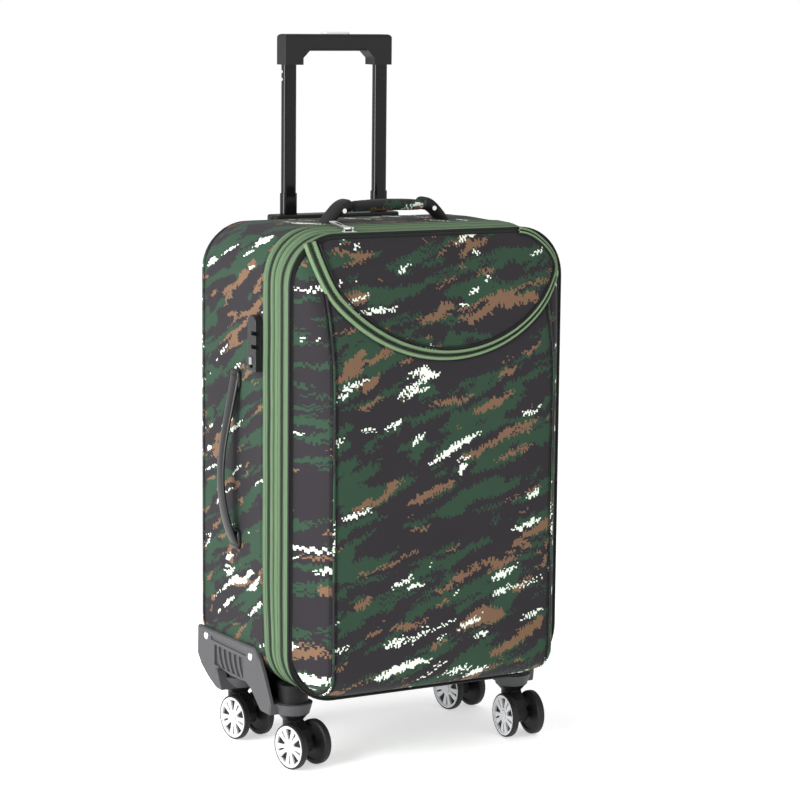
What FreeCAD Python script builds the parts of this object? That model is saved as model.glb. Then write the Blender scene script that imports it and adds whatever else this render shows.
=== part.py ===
import FreeCAD, Part
import math
import os

# A soft-sided suitcase standing on four twin-wheel casters.
# Millimetres. +Z is up, the zipped lid and its pocket face -Y, the pull handle is at the back (+Y).
# Everything is built about the body's own middle plane, and moved at the end so that the origin is
# on the floor under the middle of the whole suitcase.

V = FreeCAD.Vector

# Fits
GAP = 0.3                       # between faces on different bodies
RUNNING = 0.05                  # radial clearance of a shaft in its hole

# Body of the bag
BODY_WIDTH = 386.0
BODY_HEIGHT = 580.0
BODY_BOTTOM = 94.0
BODY_TOP = BODY_BOTTOM + BODY_HEIGHT
BODY_MID_Z = BODY_BOTTOM + BODY_HEIGHT / 2.0
HALF_WIDTH = BODY_WIDTH / 2.0
CORNER_R = 60.0
BACK_Y = 122.0
SEAM_Y = 100.0                  # where the side band is sewn to the back panel
SHELL_FRONT_Y = -78.0           # where the expansion zipper starts
BAND_T = 5.0
BACK_EDGE_R = 20.0
SEAM_PIPING_R = 2.0
LINING_INSET = 8.1
LINING_T = 1.2
LINING_BACK_Y = 95.5
FRAME_WIDTH = 12.0
FRAME_Y = -30.0

# Zippers, from back to front
TAPE_T = 4.0
EXPANSION_SPLIT_Y = -93.0       # the expander leaves the shell here
LID_SPLIT_Y = -124.0            # the lid leaves the expander here
ZIPPER_FRONT_Y = -145.0
EXPANSION_TRAVEL = 45.0
SLEEVE_INSET = 5.5
SLEEVE_T = 1.5

# Slider of the main zipper, on top near the left corner, and its pull
SLIDER_X = -101.0
SLIDER_Y = -126.0
SLIDER_SIZE = (17.0, 12.0, 4.4)
PULL_Y = SLIDER_Y + 7.0
PULL_Z = BODY_TOP + 7.5
PULL_BAR_R = 1.0
PULL_EYE_R = 2.4
PULL_HALF = 4.6
PULL_LENGTH = 38.0
PULL_T = 2.2
PULL_TILT = 8.0                 # degrees above level at rest
PULL_WINDOW = (12.0, 30.0)      # from the bar, along the pull

# Lid
LID_PANEL_T = 4.0
LID_PANEL_FRONT_Y = -149.0
PIPING_R = 3.2
PIPING_Y = -152.0
PIPING_GROW = 2.0               # the piping's centre line stands this far outside the body outline

# Pocket on the lid
POCKET_FRONT_Y = -198.0
POCKET_T = 3.0
POCKET_SIDE_INSET = 35.0        # each side leans in this much between the piping and the front
POCKET_FOOT_Z = 150.0           # the bottom of the pocket curves back below this height
FLAP_FOLD_Z = 514.0             # the upper part slopes back to the piping above this height
POCKET_TOP_Z = BODY_TOP - 2.0
ARC_R = 202.0                   # centre line of the curved zipper
ARC_MID_X = 10.0
ARC_MID_Z = 727.5
ARC_ZIPPER_WIDTH = 10.0
FLAP_TOP_Z = 665.0
HEM_Z = 668.0
ARC_SLIDER_ANGLE = -30.0        # where its slider is parked round the circle
ARC_SLIDER_INSET = 8.0          # it sits this far inside the circle, on the flap
ARC_SLIDER_SIZE = (7.0, 3.4, 14.0)
ARC_SLIDER_TILT = 24.0

# Pull handle
POST_X = 68.0
POST_Y = 105.0
INNER_SIZE = (20.0, 12.0)
INNER_R = 5.0
INNER_WALL = 1.2
STAGE_STEP = 1.4                # one tube's outside is this much bigger per side than the next
OUTER_Z = (106.0, BODY_TOP)
MID_Z = (480.0, 710.0)
INNER_Z = (640.0, 890.0)
GRIP_BOTTOM = 878.0
GRIP_TOP = 918.0
GRIP_BAR_BOTTOM = 896.0
GRIP_HALF = 79.0
GRIP_DEPTH = 26.0
BUTTON_HALF = 20.0
BUTTON_DEPTH = 15.0
BUTTON_PROUD = 3.0
BUTTON_TRAVEL = 3.0
BEZEL_TOP = BODY_TOP + 8.0
BEZEL_HALF = 95.0
BEZEL_Y = (90.0, 120.5)
BRACKET_HALF = 92.0             # the bar inside that the outer tubes stand in
BRACKET_Y = (LINING_BACK_Y + 0.4, 112.0)
BRACKET_Z = (104.0, 124.0)
PIN_Z = (859.0, 869.0)
PIN_PROUD = 0.2                 # the stop pins slide inside the middle tubes

# Carry handles
TOP_HANDLE_HALF = 89.0
TOP_HANDLE_Y = -33.0
TOP_HANDLE_DEPTH = 28.0
TOP_HANDLE_TOP = 711.0
PAD_X = (-56.0, 56.0)
STUD_X = 66.0
STUD_Z = 697.0
STUD_R = 3.0
SIDE_HANDLE_Y = -5.0
SIDE_HANDLE_WIDTH = 22.0
SIDE_HANDLE_Z = (264.0, 497.0)
SIDE_HANDLE_BOW = 29.0
SIDE_HANDLE_T = 5.0

# Lock on the left side
LOCK_Y = (-77.0, -54.0)
LOCK_Z = (502.0, 573.0)
LOCK_PROUD = 13.5
LOCK_SLOT_Z = (533.0, 550.0)
LATCH_Z = 514.0

# Wheel guards
GUARD_T = 4.5
GUARD_TOP = 142.0
GUARD_BOTTOM = 66.0
GUARD_REACH = 48.0
HOUSING_R = (21.0, 25.0)        # a caster's housing at its bottom and at its rim
HOUSING_RIM = 80.0
POST_UP_R = 19.0                # from the rim up to the bag
LEG_T = 6.0                     # thickness of the front leg's plate above the rim
LEG_HOLLOW_Y = (-130.0, -58.0)  # behind that plate
GROOVE_Y = (-34.0, 71.0)
GROOVE_Z = (128.5, 133.5)
GROOVE_DEPTH = 1.8
RECESS_Y = (-26.0, 60.0)
RECESS_Z = (97.0, 124.0)
RIDGE_R = 38.0
RIDGE_Y = -9.0                  # top of the first ridge
RIDGE_PITCH = 15.0
RIDGE_HALF = 2.5
RIDGES = 5
RECESS_DEPTH = 3.4
RIVET_R = 5.2
SHANK_R = 2.5
RIVET_YZ = ((84.0, 131.0), (-47.0, 131.0))
FOOT_R = 10.0
FOOT_PROUD = 8.0
FOOT_YZ = ((30.0, 230.0), (30.0, 540.0), (85.0, 230.0), (85.0, 540.0))

# Casters: name, pivot x, pivot y, angle of the wheels about the pivot
CASTER_X = 163.0
CASTER_FRONT_Y = -99.0
CASTER_BACK_Y = 60.3
CASTERS = (
    ("front_left", -CASTER_X, CASTER_FRONT_Y, 12.0),
    ("front_right", CASTER_X, CASTER_FRONT_Y, -2.0),
    ("back_left", -CASTER_X, CASTER_BACK_Y, 10.0),
    ("back_right", CASTER_X, CASTER_BACK_Y, 8.0),
)
WHEEL_R = 29.0
WHEEL_X = (14.0, 24.0)          # a wheel's inner and outer face
SHOULDER_R = (3.5, 2.0)         # roundings of its inner and outer edge
CAP_R = 26.6
CAP_DEPTH = 4.0
CAP_PROUD = 0.3                 # the cap ends this far inside the wheel's outer face
TRAIL = 20.0
AXLE_R = 3.0
AXLE_HALF = 18.9
PIN_R = 5.0
PIN_BOTTOM = 46.0
FORK_TOP = 65.5
NECK_R = (13.3, 20.0)
NECK_Z = 58.0                   # the neck widens from here up
STEM_Z = 44.0
FORK_WEB_HALF = 7.5
BOSS_R = 11.5
COLLAR_R = 6.5
SPOKE_PAIRS = 5
WIDE_WINDOW = ((9.5, 23.5), (0.16, 0.24))       # inner and outer radius, half angle at each
NARROW_WINDOW = ((11.0, 22.5), (0.07, 0.075))


# ---- small builders

def box(x, y, z):
    """A box from three (low, high) pairs."""
    return Part.makeBox(x[1] - x[0], y[1] - y[0], z[1] - z[0], V(x[0], y[0], z[0]))


def rounded_wire(half_u, half_v, radius, place):
    """A rounded rectangle about (0, 0); place(u, v) gives the point in space."""
    arcs = []
    ends = []
    for sign_u, sign_v, first in ((1, 1, 0), (-1, 1, 90), (-1, -1, 180), (1, -1, 270)):
        centre_u = sign_u * (half_u - radius)
        centre_v = sign_v * (half_v - radius)
        points = []
        for angle in (first, first + 45, first + 90):
            turn = math.radians(angle)
            points.append(place(centre_u + radius * math.cos(turn), centre_v + radius * math.sin(turn)))
        arcs.append(Part.Arc(*points).toShape())
        ends.append((points[0], points[2]))
    edges = []
    for i, arc in enumerate(arcs):
        edges.append(arc)
        edges.append(Part.makeLine(ends[i][1], ends[(i + 1) % 4][0]))
    return Part.Wire(edges)


def outline(grow, y):
    """The body's front outline at depth y, moved outwards by grow."""
    return rounded_wire(HALF_WIDTH + grow, BODY_HEIGHT / 2.0 + grow, CORNER_R + grow,
                        lambda u, v: V(u, y, BODY_MID_Z + v))


def slab(grow, y0, y1):
    """A solid with the body's outline between two depths."""
    return Part.Face(outline(grow, y0)).extrude(V(0, y1 - y0, 0))


def ring(grow, thickness, y0, y1):
    """A band that follows the body's outline."""
    reach = 1.0 if y1 > y0 else -1.0
    return slab(grow, y0, y1).cut(slab(grow - thickness, y0 - reach, y1 + reach))


def piping(grow, y, radius):
    """A round cord laid along the body's outline."""
    path = outline(grow, y)
    start = path.Edges[0].firstVertex().Point
    tangent = path.Edges[0].tangentAt(path.Edges[0].FirstParameter)
    circle = Part.Wire(Part.makeCircle(radius, start, tangent))
    return path.makePipeShell([circle], True, True)


def prism(points, direction, place):
    """A polygon of (u, v) points, placed by place(u, v) and extruded."""
    loop = [place(u, v) for u, v in points]
    return Part.Face(Part.makePolygon(loop + loop[:1])).extrude(direction)


def bar(x, y, z0, z1, size, radius):
    """A vertical bar with a rounded rectangular section."""
    wire = rounded_wire(size[0] / 2.0, size[1] / 2.0, radius, lambda u, v: V(x + u, y + v, z0))
    return Part.Face(wire).extrude(V(0, 0, z1 - z0))


def cylinder(radius, length, base, axis):
    return Part.makeCylinder(radius, length, base, axis)


# ---- bag body

def back_panel():
    outer = slab(0, SEAM_Y, BACK_Y)
    outer = outer.makeFillet(BACK_EDGE_R, edges_at_y(outer, BACK_Y))
    inner_back = BACK_Y - BAND_T
    inner = slab(-BAND_T, SEAM_Y, inner_back)
    inner = inner.makeFillet(BACK_EDGE_R - BAND_T, edges_at_y(inner, inner_back))
    return outer.cut(inner).cut(post_cutouts())


def edges_at_y(shape, y):
    """The edges that lie wholly in the plane at depth y."""
    found = []
    for edge in shape.Edges:
        span = edge.BoundBox
        if abs(span.YMin - y) < 0.01 and abs(span.YMax - y) < 0.01:
            found.append(edge)
    return found


def post_cutouts():
    """The holes in the top of the bag for the handle's tubes."""
    width = INNER_SIZE[0] + 4 * STAGE_STEP + 2 * GAP
    depth = INNER_SIZE[1] + 4 * STAGE_STEP + 2 * GAP
    holes = []
    for x in (-POST_X, POST_X):
        holes.append(box((x - width / 2, x + width / 2), (POST_Y - depth / 2, POST_Y + depth / 2),
                         (BODY_TOP - 34, BODY_TOP + 20)))
    return Part.makeCompound(holes)


def side_band():
    return ring(0, BAND_T, SHELL_FRONT_Y, SEAM_Y).cut(post_cutouts())


def shell_lining():
    tub = slab(-LINING_INSET, SHELL_FRONT_Y, LINING_BACK_Y)
    hollow = slab(-LINING_INSET - LINING_T, SHELL_FRONT_Y - 1, LINING_BACK_Y - LINING_T)
    return tub.cut(hollow)


def shell_frame():
    """The stiffening hoop between the side band and the lining."""
    thickness = LINING_INSET - BAND_T - 0.2
    return ring(-BAND_T - 0.1, thickness, FRAME_Y, FRAME_Y + FRAME_WIDTH)


# ---- zippers

def expansion_zipper():
    return ring(0, TAPE_T, EXPANSION_SPLIT_Y + GAP, SHELL_FRONT_Y)


def expander_band():
    return ring(0, TAPE_T, LID_SPLIT_Y, EXPANSION_SPLIT_Y)


def expander_sleeve():
    """The folded gusset, as a sleeve that stays inside the shell until the bag is let out."""
    deepest = EXPANSION_SPLIT_Y + EXPANSION_TRAVEL + 15.0
    return ring(-SLEEVE_INSET, SLEEVE_T, LID_SPLIT_Y, deepest)


def main_zipper():
    return ring(0, TAPE_T, ZIPPER_FRONT_Y, LID_SPLIT_Y - GAP)


def main_slider():
    """Slider body on the main zipper's coil, with the bar that holds the pull."""
    low = BODY_TOP + GAP
    width, depth, height = SLIDER_SIZE
    body = box((SLIDER_X - width / 2, SLIDER_X + width / 2), (SLIDER_Y - depth / 2, SLIDER_Y + depth / 2),
               (low, low + height))
    body = body.makeChamfer(1.2, body.Faces[5].Edges)
    shape = body
    for side in (-1, 1):
        x = SLIDER_X + side * 6.0
        arm = box((x - 1, x + 1), (SLIDER_Y + 2, PULL_Y + 1.6), (low + 3, PULL_Z + 1.6))
        shape = shape.fuse(arm)
    rod = cylinder(PULL_BAR_R, 12, V(SLIDER_X - 6, PULL_Y, PULL_Z), V(1, 0, 0))
    return shape.fuse(rod).removeSplitter()


def main_pull():
    """The long metal tab that hangs on the slider's bar."""
    width = (SLIDER_X - PULL_HALF, SLIDER_X + PULL_HALF)
    eye = cylinder(PULL_EYE_R, 2 * PULL_HALF, V(width[0], PULL_Y, PULL_Z), V(1, 0, 0))
    tab = box(width, (PULL_Y, PULL_Y + PULL_LENGTH), (PULL_Z - PULL_T / 2, PULL_Z + PULL_T / 2))
    window = box((SLIDER_X - PULL_HALF / 2, SLIDER_X + PULL_HALF / 2),
                 (PULL_Y + PULL_WINDOW[0], PULL_Y + PULL_WINDOW[1]), (PULL_Z - PULL_T, PULL_Z + PULL_T))
    shape = eye.fuse(tab).cut(window)
    shape.rotate(V(0, PULL_Y, PULL_Z), V(1, 0, 0), PULL_TILT)
    bore = cylinder(PULL_BAR_R + RUNNING, 2 * PULL_HALF + 2, V(width[0] - 1, PULL_Y, PULL_Z), V(1, 0, 0))
    return shape.cut(bore)


# ---- lid and pocket

def lid_panel():
    return slab(-1, LID_PANEL_FRONT_Y, LID_PANEL_FRONT_Y + LID_PANEL_T - 0.2)


def pocket_space(inset):
    """The pocket's outer form when inset is 0, and its hollow when inset is the wall thickness."""
    base_y = LID_PANEL_FRONT_Y - 0.2 + (2.0 if inset else 0.0)
    front_y = POCKET_FRONT_Y + inset
    plan_base = HALF_WIDTH - 2.0 - inset
    plan_front = HALF_WIDTH - POCKET_SIDE_INSET - 0.7 * inset
    plan = [(-plan_base, base_y), (plan_base, base_y), (plan_front, front_y), (-plan_front, front_y)]
    in_plan = prism(plan, V(0, 0, 2 * BODY_HEIGHT), lambda u, v: V(u, v, -BODY_HEIGHT / 2))
    low = BODY_BOTTOM + 2.0 + inset
    foot_y = PIPING_Y - 1.0

    def at(y, z):
        return V(-BODY_WIDTH, y, z)

    curve_mid = at(front_y + 12.0, low + 16.0)
    foot = Part.Arc(at(foot_y, low), curve_mid, at(front_y, POCKET_FOOT_Z)).toShape()
    top_y = PIPING_Y + inset
    corners = [at(front_y, POCKET_FOOT_Z), at(front_y, FLAP_FOLD_Z), at(top_y, POCKET_TOP_Z - inset),
               at(base_y + 1, POCKET_TOP_Z - inset), at(base_y + 1, low), at(foot_y, low)]
    edges = [foot]
    for first, second in zip(corners, corners[1:]):
        edges.append(Part.makeLine(first, second))
    in_profile = Part.Face(Part.Wire(edges)).extrude(V(2 * BODY_WIDTH, 0, 0))
    whole = slab(-2.0 - inset, base_y, front_y - 1)
    return whole.common(in_plan).common(in_profile)


def disc(radius):
    """Everything inside the curved zipper's circle."""
    return cylinder(radius, 120, V(ARC_MID_X, POCKET_FRONT_Y - 30, ARC_MID_Z), V(0, 1, 0))


def pocket_parts():
    """The pocket's wall, cut along the curved zipper and along the side seams."""
    wall = pocket_space(0).cut(pocket_space(POCKET_T))
    half = ARC_ZIPPER_WIDTH / 2.0
    wide = 3 * BODY_WIDTH
    below_fold = box((-wide, wide), (-400, 0), (0, FLAP_TOP_Z))
    above_hem = box((-wide, wide), (-400, 0), (HEM_Z, 2 * BODY_TOP))
    seam_x = HALF_WIDTH - POCKET_SIDE_INSET
    middle = box((-seam_x, seam_x), (-400, 0), (0, 2 * BODY_TOP))
    around = wall.cut(disc(ARC_R + half + GAP))
    hem = wall.common(disc(ARC_R - half - GAP)).common(above_hem)
    return {
        "pocket_flap": wall.common(disc(ARC_R - half - GAP)).common(below_fold),
        "arc_zipper": wall.common(disc(ARC_R + half)).cut(disc(ARC_R - half)),
        "pocket_front": Part.makeCompound(around.common(middle).Solids + hem.Solids),
        "pocket_gussets": around.cut(middle),
    }


def arc_slider():
    """The small slider parked at the right end of the curved zipper, on the flap's edge."""
    angle = math.radians(ARC_SLIDER_ANGLE)
    half_x, depth, half_z = ARC_SLIDER_SIZE[0] / 2, ARC_SLIDER_SIZE[1], ARC_SLIDER_SIZE[2] / 2
    x = ARC_MID_X + ARC_R * math.cos(angle) - ARC_SLIDER_INSET
    z = ARC_MID_Z + ARC_R * math.sin(angle)
    slope = (PIPING_Y - POCKET_FRONT_Y) / (POCKET_TOP_Z - FLAP_FOLD_Z)
    front_y = PIPING_Y - (POCKET_TOP_Z - z + half_z) * slope
    side_slope = (PIPING_Y - POCKET_FRONT_Y) / (POCKET_SIDE_INSET - 2.0)
    side_y = PIPING_Y - (HALF_WIDTH - 2.0 - x + 2 * half_x) * side_slope
    body = box((-half_x, half_x), (-depth, 0), (-half_z, half_z))
    body = body.makeChamfer(1.0, body.Faces[2].Edges)
    body.rotate(V(0, 0, 0), V(0, 1, 0), ARC_SLIDER_TILT)
    body.translate(V(x, max(front_y, side_y) - GAP, z))
    return body


# ---- pull handle

def tube_size(stage):
    """Outside size and corner radius: stage 0 is the inner tube, 2 the outer one."""
    grow = 2 * STAGE_STEP * stage
    return (INNER_SIZE[0] + grow, INNER_SIZE[1] + grow), INNER_R + STAGE_STEP * stage


def tube_pair(stage, span):
    """Two hollow tubes of one stage."""
    size, radius = tube_size(stage)
    wall = INNER_WALL if stage == 0 else STAGE_STEP - GAP
    hollow = (size[0] - 2 * wall, size[1] - 2 * wall)
    tubes = []
    for x in (-POST_X, POST_X):
        outside = bar(x, POST_Y, span[0], span[1], size, radius)
        inside = bar(x, POST_Y, span[0] - 1, span[1] + 1, hollow, radius - wall)
        tubes.append(outside.cut(inside))
    return Part.makeCompound(tubes)


def solid_posts(stage, grow, z0, z1):
    """Solid bars that fill one stage's outside, made bigger by grow all round."""
    size, radius = tube_size(stage)
    bigger = (size[0] + 2 * grow, size[1] + 2 * grow)
    return Part.makeCompound([bar(x, POST_Y, z0, z1, bigger, radius + grow) for x in (-POST_X, POST_X)])


def tube_bracket():
    block = box((-BRACKET_HALF, BRACKET_HALF), BRACKET_Y, BRACKET_Z)
    return block.cut(solid_posts(2, 0, OUTER_Z[0], BRACKET_Z[1] + 10))


def handle_bezel(seam_clearance):
    """The moulded plate that the posts slide through, fitted to the bag's rounded top edge."""
    size = (2 * BEZEL_HALF, BEZEL_Y[1] - BEZEL_Y[0])
    plate = bar(0, (BEZEL_Y[0] + BEZEL_Y[1]) / 2, BODY_TOP - 14, BEZEL_TOP, size, 10)
    plate = plate.makeFillet(2.5, top_edges(plate, BEZEL_TOP))
    bag = slab(0, SEAM_Y - 60, BACK_Y)
    bag = bag.makeFillet(BACK_EDGE_R, edges_at_y(bag, BACK_Y))
    plate = plate.cut(bag).cut(seam_clearance)
    return plate.cut(solid_posts(2, 0, BODY_TOP - 40, BODY_TOP)).cut(solid_posts(1, GAP, 0, 2 * BODY_TOP))


def top_edges(shape, z):
    """The edges that lie wholly at height z."""
    found = []
    for edge in shape.Edges:
        span = edge.BoundBox
        if abs(span.ZMin - z) < 0.01 and abs(span.ZMax - z) < 0.01:
            found.append(edge)
    return found


def grip():
    """The U-shaped grip: a bar with a deeper block over each post."""
    inside = POST_X - 15.0
    chamfer = 9.0
    section = [(-GRIP_HALF, GRIP_BOTTOM), (-inside, GRIP_BOTTOM), (-inside, GRIP_BAR_BOTTOM - chamfer),
               (-inside + chamfer, GRIP_BAR_BOTTOM), (inside - chamfer, GRIP_BAR_BOTTOM),
               (inside, GRIP_BAR_BOTTOM - chamfer), (inside, GRIP_BOTTOM), (GRIP_HALF, GRIP_BOTTOM),
               (GRIP_HALF, GRIP_TOP), (-GRIP_HALF, GRIP_TOP)]
    y0 = POST_Y - GRIP_DEPTH / 2
    shape = prism(section, V(0, GRIP_DEPTH, 0), lambda u, v: V(u, y0, v))
    long_edges = []
    for edge in shape.Edges:
        span = edge.BoundBox
        along_x = span.XLength > 20 and span.YLength < 0.01 and span.ZLength < 0.01
        top_end = span.YLength > 20 and span.ZMin > GRIP_TOP - 1
        if (along_x and span.ZMin > GRIP_BAR_BOTTOM - 1) or top_end:
            long_edges.append(edge)
    shape = shape.makeFillet(5.0, long_edges)
    well = bar(0, POST_Y, GRIP_TOP - 14, GRIP_TOP + 5, (2 * BUTTON_HALF, BUTTON_DEPTH), 5)
    return shape.cut(well).cut(solid_posts(0, 0, GRIP_BOTTOM - 1, INNER_Z[1]))


def release_button():
    size = (2 * (BUTTON_HALF - 0.4), BUTTON_DEPTH - 0.8)
    low = GRIP_TOP - 14 + BUTTON_TRAVEL + 0.4
    shape = bar(0, POST_Y, low, GRIP_TOP + BUTTON_PROUD, size, 4.6)
    return shape.makeFillet(1.5, top_edges(shape, GRIP_TOP + BUTTON_PROUD))


def stop_pins():
    """The two bright pins on the left post, under the grip."""
    pins = []
    face = -POST_X - INNER_SIZE[0] / 2
    for z in PIN_Z:
        pins.append(cylinder(2.2, PIN_PROUD, V(face - PIN_PROUD, POST_Y, z), V(1, 0, 0)))
    return Part.makeCompound(pins)


# ---- carry handles and lock

def top_handle_parts():
    """The padded grip on top and the black ends that slope down to the bag."""
    foot = BODY_TOP + GAP
    top = TOP_HANDLE_TOP
    half = TOP_HANDLE_HALF
    outer = [(-half, foot), (-half, foot + 7), (-half + 27, top), (half - 27, top), (half, foot + 7), (half, foot),
             (half - 16, foot), (half - 33, top - 17), (-half + 33, top - 17), (-half + 16, foot)]
    y0 = TOP_HANDLE_Y - TOP_HANDLE_DEPTH / 2
    whole = prism(outer, V(0, TOP_HANDLE_DEPTH, 0), lambda u, v: V(u, y0, v))
    middle = box(PAD_X, (y0 - 1, y0 + TOP_HANDLE_DEPTH + 1), (foot - 1, top + 1))
    pad = whole.common(middle)
    pad = pad.makeFillet(6.0, [e for e in pad.Edges if e.BoundBox.XLength > 50])
    return pad, Part.makeCompound(whole.cut(middle).Solids)


def side_handle():
    """A bowed strap with a moulded block at each end."""
    low, high = SIDE_HANDLE_Z
    middle = (low + high) / 2
    face = -HALF_WIDTH - GAP
    y0 = SIDE_HANDLE_Y - SIDE_HANDLE_WIDTH / 2

    def at(x, z):
        return V(x, y0, z)

    outside = -HALF_WIDTH - SIDE_HANDLE_BOW
    inside = outside + SIDE_HANDLE_T
    end = face - 9.0
    outer = Part.Arc(at(end - 1, low + 14), at(outside, middle), at(end - 1, high - 14)).toShape()
    inner = Part.Arc(at(end + 2, low + 24), at(inside, middle), at(end + 2, high - 24)).toShape()
    corners_low = [at(end - 1, low + 14), at(end, low), at(face, low), at(face, low + 24), at(end + 2, low + 24)]
    corners_high = [at(end + 2, high - 24), at(face, high - 24), at(face, high), at(end, high),
                    at(end - 1, high - 14)]
    edges = [outer, inner]
    for corners in (corners_low, corners_high):
        for first, second in zip(corners, corners[1:]):
            edges.append(Part.makeLine(first, second))
    loop = Part.Wire(Part.__sortEdges__(edges))
    return Part.Face(loop).extrude(V(0, SIDE_HANDLE_WIDTH, 0))


def lock_parts():
    """The lock's housing with two slots for the zipper pulls, and its sliding latch."""
    x0 = -HALF_WIDTH - LOCK_PROUD
    face = -HALF_WIDTH
    middle_y = (LOCK_Y[0] + LOCK_Y[1]) / 2
    radius = (LOCK_Y[1] - LOCK_Y[0]) / 2
    housing = box((x0, face), LOCK_Y, (LOCK_Z[0], LOCK_Z[1] - radius))
    crown = cylinder(radius, LOCK_PROUD, V(x0, middle_y, LOCK_Z[1] - radius), V(1, 0, 0))
    housing = housing.fuse(crown).removeSplitter()
    rim = [e for e in housing.Edges if e.BoundBox.XMax < x0 + 0.01]
    housing = housing.makeFillet(1.5, rim)
    for z in LOCK_SLOT_Z:
        housing = housing.cut(box((x0 - 1, x0 + 8), (LOCK_Y[0] - 1, middle_y), (z - 2.6, z + 2.6)))
    track = box((x0 - 1, x0 + 4), (middle_y - 4, middle_y + 4), (LATCH_Z - 8, LATCH_Z + 6))
    housing = housing.cut(track)
    latch = box((x0 - 1.5, x0 + 3.7), (middle_y - 3.7, middle_y + 3.7), (LATCH_Z - 3.5, LATCH_Z + 5.5))
    return housing, latch


# ---- wheel guards

def guard_profile():
    """The guard's outline seen from the side: a plate over an arch, on a back leg and a front leg."""
    points = [(112.0, GUARD_TOP - 2), (-55.0, GUARD_TOP + 2), (-69.0, 132.0), (-82.0, 114.0), (-95.0, 92.0),
              (-102.0, 80.0), (-100.0, GUARD_BOTTOM), (-74.0, GUARD_BOTTOM), (-46.0, 88.0), (-30.0, 94.0),
              (14.0, 92.0), (50.0, 96.0), (56.0, 90.0), (42.0, GUARD_BOTTOM), (56.0, GUARD_BOTTOM),
              (78.0, 75.0), (101.0, 88.0), (113.0, 102.0)]
    return points


def housing(y):
    """A caster's housing on the left side: a cup that widens upwards, and a post up to the bag."""
    foot = V(-CASTER_X, y, GUARD_BOTTOM)
    cup = Part.makeCone(HOUSING_R[0], HOUSING_R[1], HOUSING_RIM - GUARD_BOTTOM, foot, V(0, 0, 1))
    post = cylinder(POST_UP_R, BODY_BOTTOM + 10 - HOUSING_RIM, V(-CASTER_X, y, HOUSING_RIM), V(0, 0, 1))
    return cup.fuse(post)


def guard_ridge(x, y):
    """One curved ridge across the recess: upright at its top, bending towards -Y lower down."""
    centre = V(x, y - RIDGE_R, RECESS_Z[1])
    bow = cylinder(RIDGE_R + RIDGE_HALF, 4, centre, V(1, 0, 0))
    bow = bow.cut(cylinder(RIDGE_R - RIDGE_HALF, 4, centre, V(1, 0, 0)))
    reach = box((x - 1, x + 5), (RECESS_Y[0] - 0.5, RECESS_Y[1] + 0.5), (RECESS_Z[0] - 0.5, RECESS_Z[1] + 0.5))
    return bow.common(reach).common(box((x - 1, x + 5), (y - RIDGE_R, y + 10), (0, RECESS_Z[1] + 1)))


def guard_left(seam_clearance):
    """Plate, legs and caster housings of the left side, in one moulding."""
    x0 = -HALF_WIDTH - GAP - GUARD_T
    shape = prism(guard_profile(), V(GUARD_REACH, 0, 0), lambda u, v: V(x0, u, v))
    rim = [e for e in shape.Edges if e.BoundBox.XMax < x0 + 0.01]
    shape = shape.makeChamfer(2.0, rim)
    shape = shape.cut(box((x0 + LEG_T, x0 + 60), LEG_HOLLOW_Y, (HOUSING_RIM, GUARD_TOP + 20)))
    for y in (CASTER_FRONT_Y, CASTER_BACK_Y):
        shape = shape.fuse(housing(y))
    web = box((-CASTER_X - 14, -CASTER_X + 14), (CASTER_FRONT_Y, CASTER_BACK_Y), (BODY_BOTTOM - 10, BODY_BOTTOM + 8))
    shape = shape.fuse(web)
    shape = shape.cut(slab(GAP, -300, 300)).cut(seam_clearance)
    shape = shape.cut(box((x0 - 1, x0 + GROOVE_DEPTH), GROOVE_Y, GROOVE_Z))
    shape = shape.cut(box((x0 - 1, x0 + RECESS_DEPTH), RECESS_Y, RECESS_Z))
    for number in range(RIDGES):
        shape = shape.fuse(guard_ridge(x0 + 0.6, RIDGE_Y + RIDGE_PITCH * number))
    for y, z in RIVET_YZ:
        shape = shape.cut(cylinder(SHANK_R, 20, V(x0 - 5, y, z), V(1, 0, 0)))
    for y in (CASTER_FRONT_Y, CASTER_BACK_Y):
        shape = shape.cut(cylinder(PIN_R, BODY_BOTTOM - 4 - GUARD_BOTTOM + 5, V(-CASTER_X, y, GUARD_BOTTOM - 5),
                                   V(0, 0, 1)))
    return shape.removeSplitter()


def rivets():
    """Guard rivets on both sides and the studs on the top handle's ends."""
    pieces = []
    for side in (-1, 1):
        face = side * (HALF_WIDTH + GAP + GUARD_T)
        for y, z in RIVET_YZ:
            head = cylinder(RIVET_R, 1.6, V(face, y, z), V(side, 0, 0))
            head = head.makeChamfer(0.9, [e for e in head.Edges if abs(e.BoundBox.Center.x) > abs(face) + 1.5])
            shank = cylinder(SHANK_R, GUARD_T - 0.2, V(face, y, z), V(-side, 0, 0))
            pieces.append(head.fuse(shank))
        front = TOP_HANDLE_Y - TOP_HANDLE_DEPTH / 2
        pieces.append(cylinder(STUD_R, 1.4, V(side * STUD_X, front, STUD_Z), V(0, -1, 0)))
    return Part.makeCompound(pieces)


def side_feet():
    """Four round feet on the right side, for laying the bag on that side."""
    feet = []
    for y, z in FOOT_YZ:
        foot = cylinder(FOOT_R, FOOT_PROUD, V(HALF_WIDTH, y, z), V(1, 0, 0))
        outer = [e for e in foot.Edges if e.BoundBox.XMin > HALF_WIDTH + FOOT_PROUD - 1]
        feet.append(foot.makeFillet(2.5, outer))
    return Part.makeCompound(feet)


def caster_pins():
    """The steel pins that the forks swivel on, fixed in the housings."""
    pins = []
    for name, x, y, turn in CASTERS:
        pins.append(cylinder(PIN_R, BODY_BOTTOM - 4.5 - PIN_BOTTOM, V(x, y, PIN_BOTTOM), V(0, 0, 1)))
    return Part.makeCompound(pins)


# ---- casters, built about their own pivot with the wheels trailing towards -Y

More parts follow.
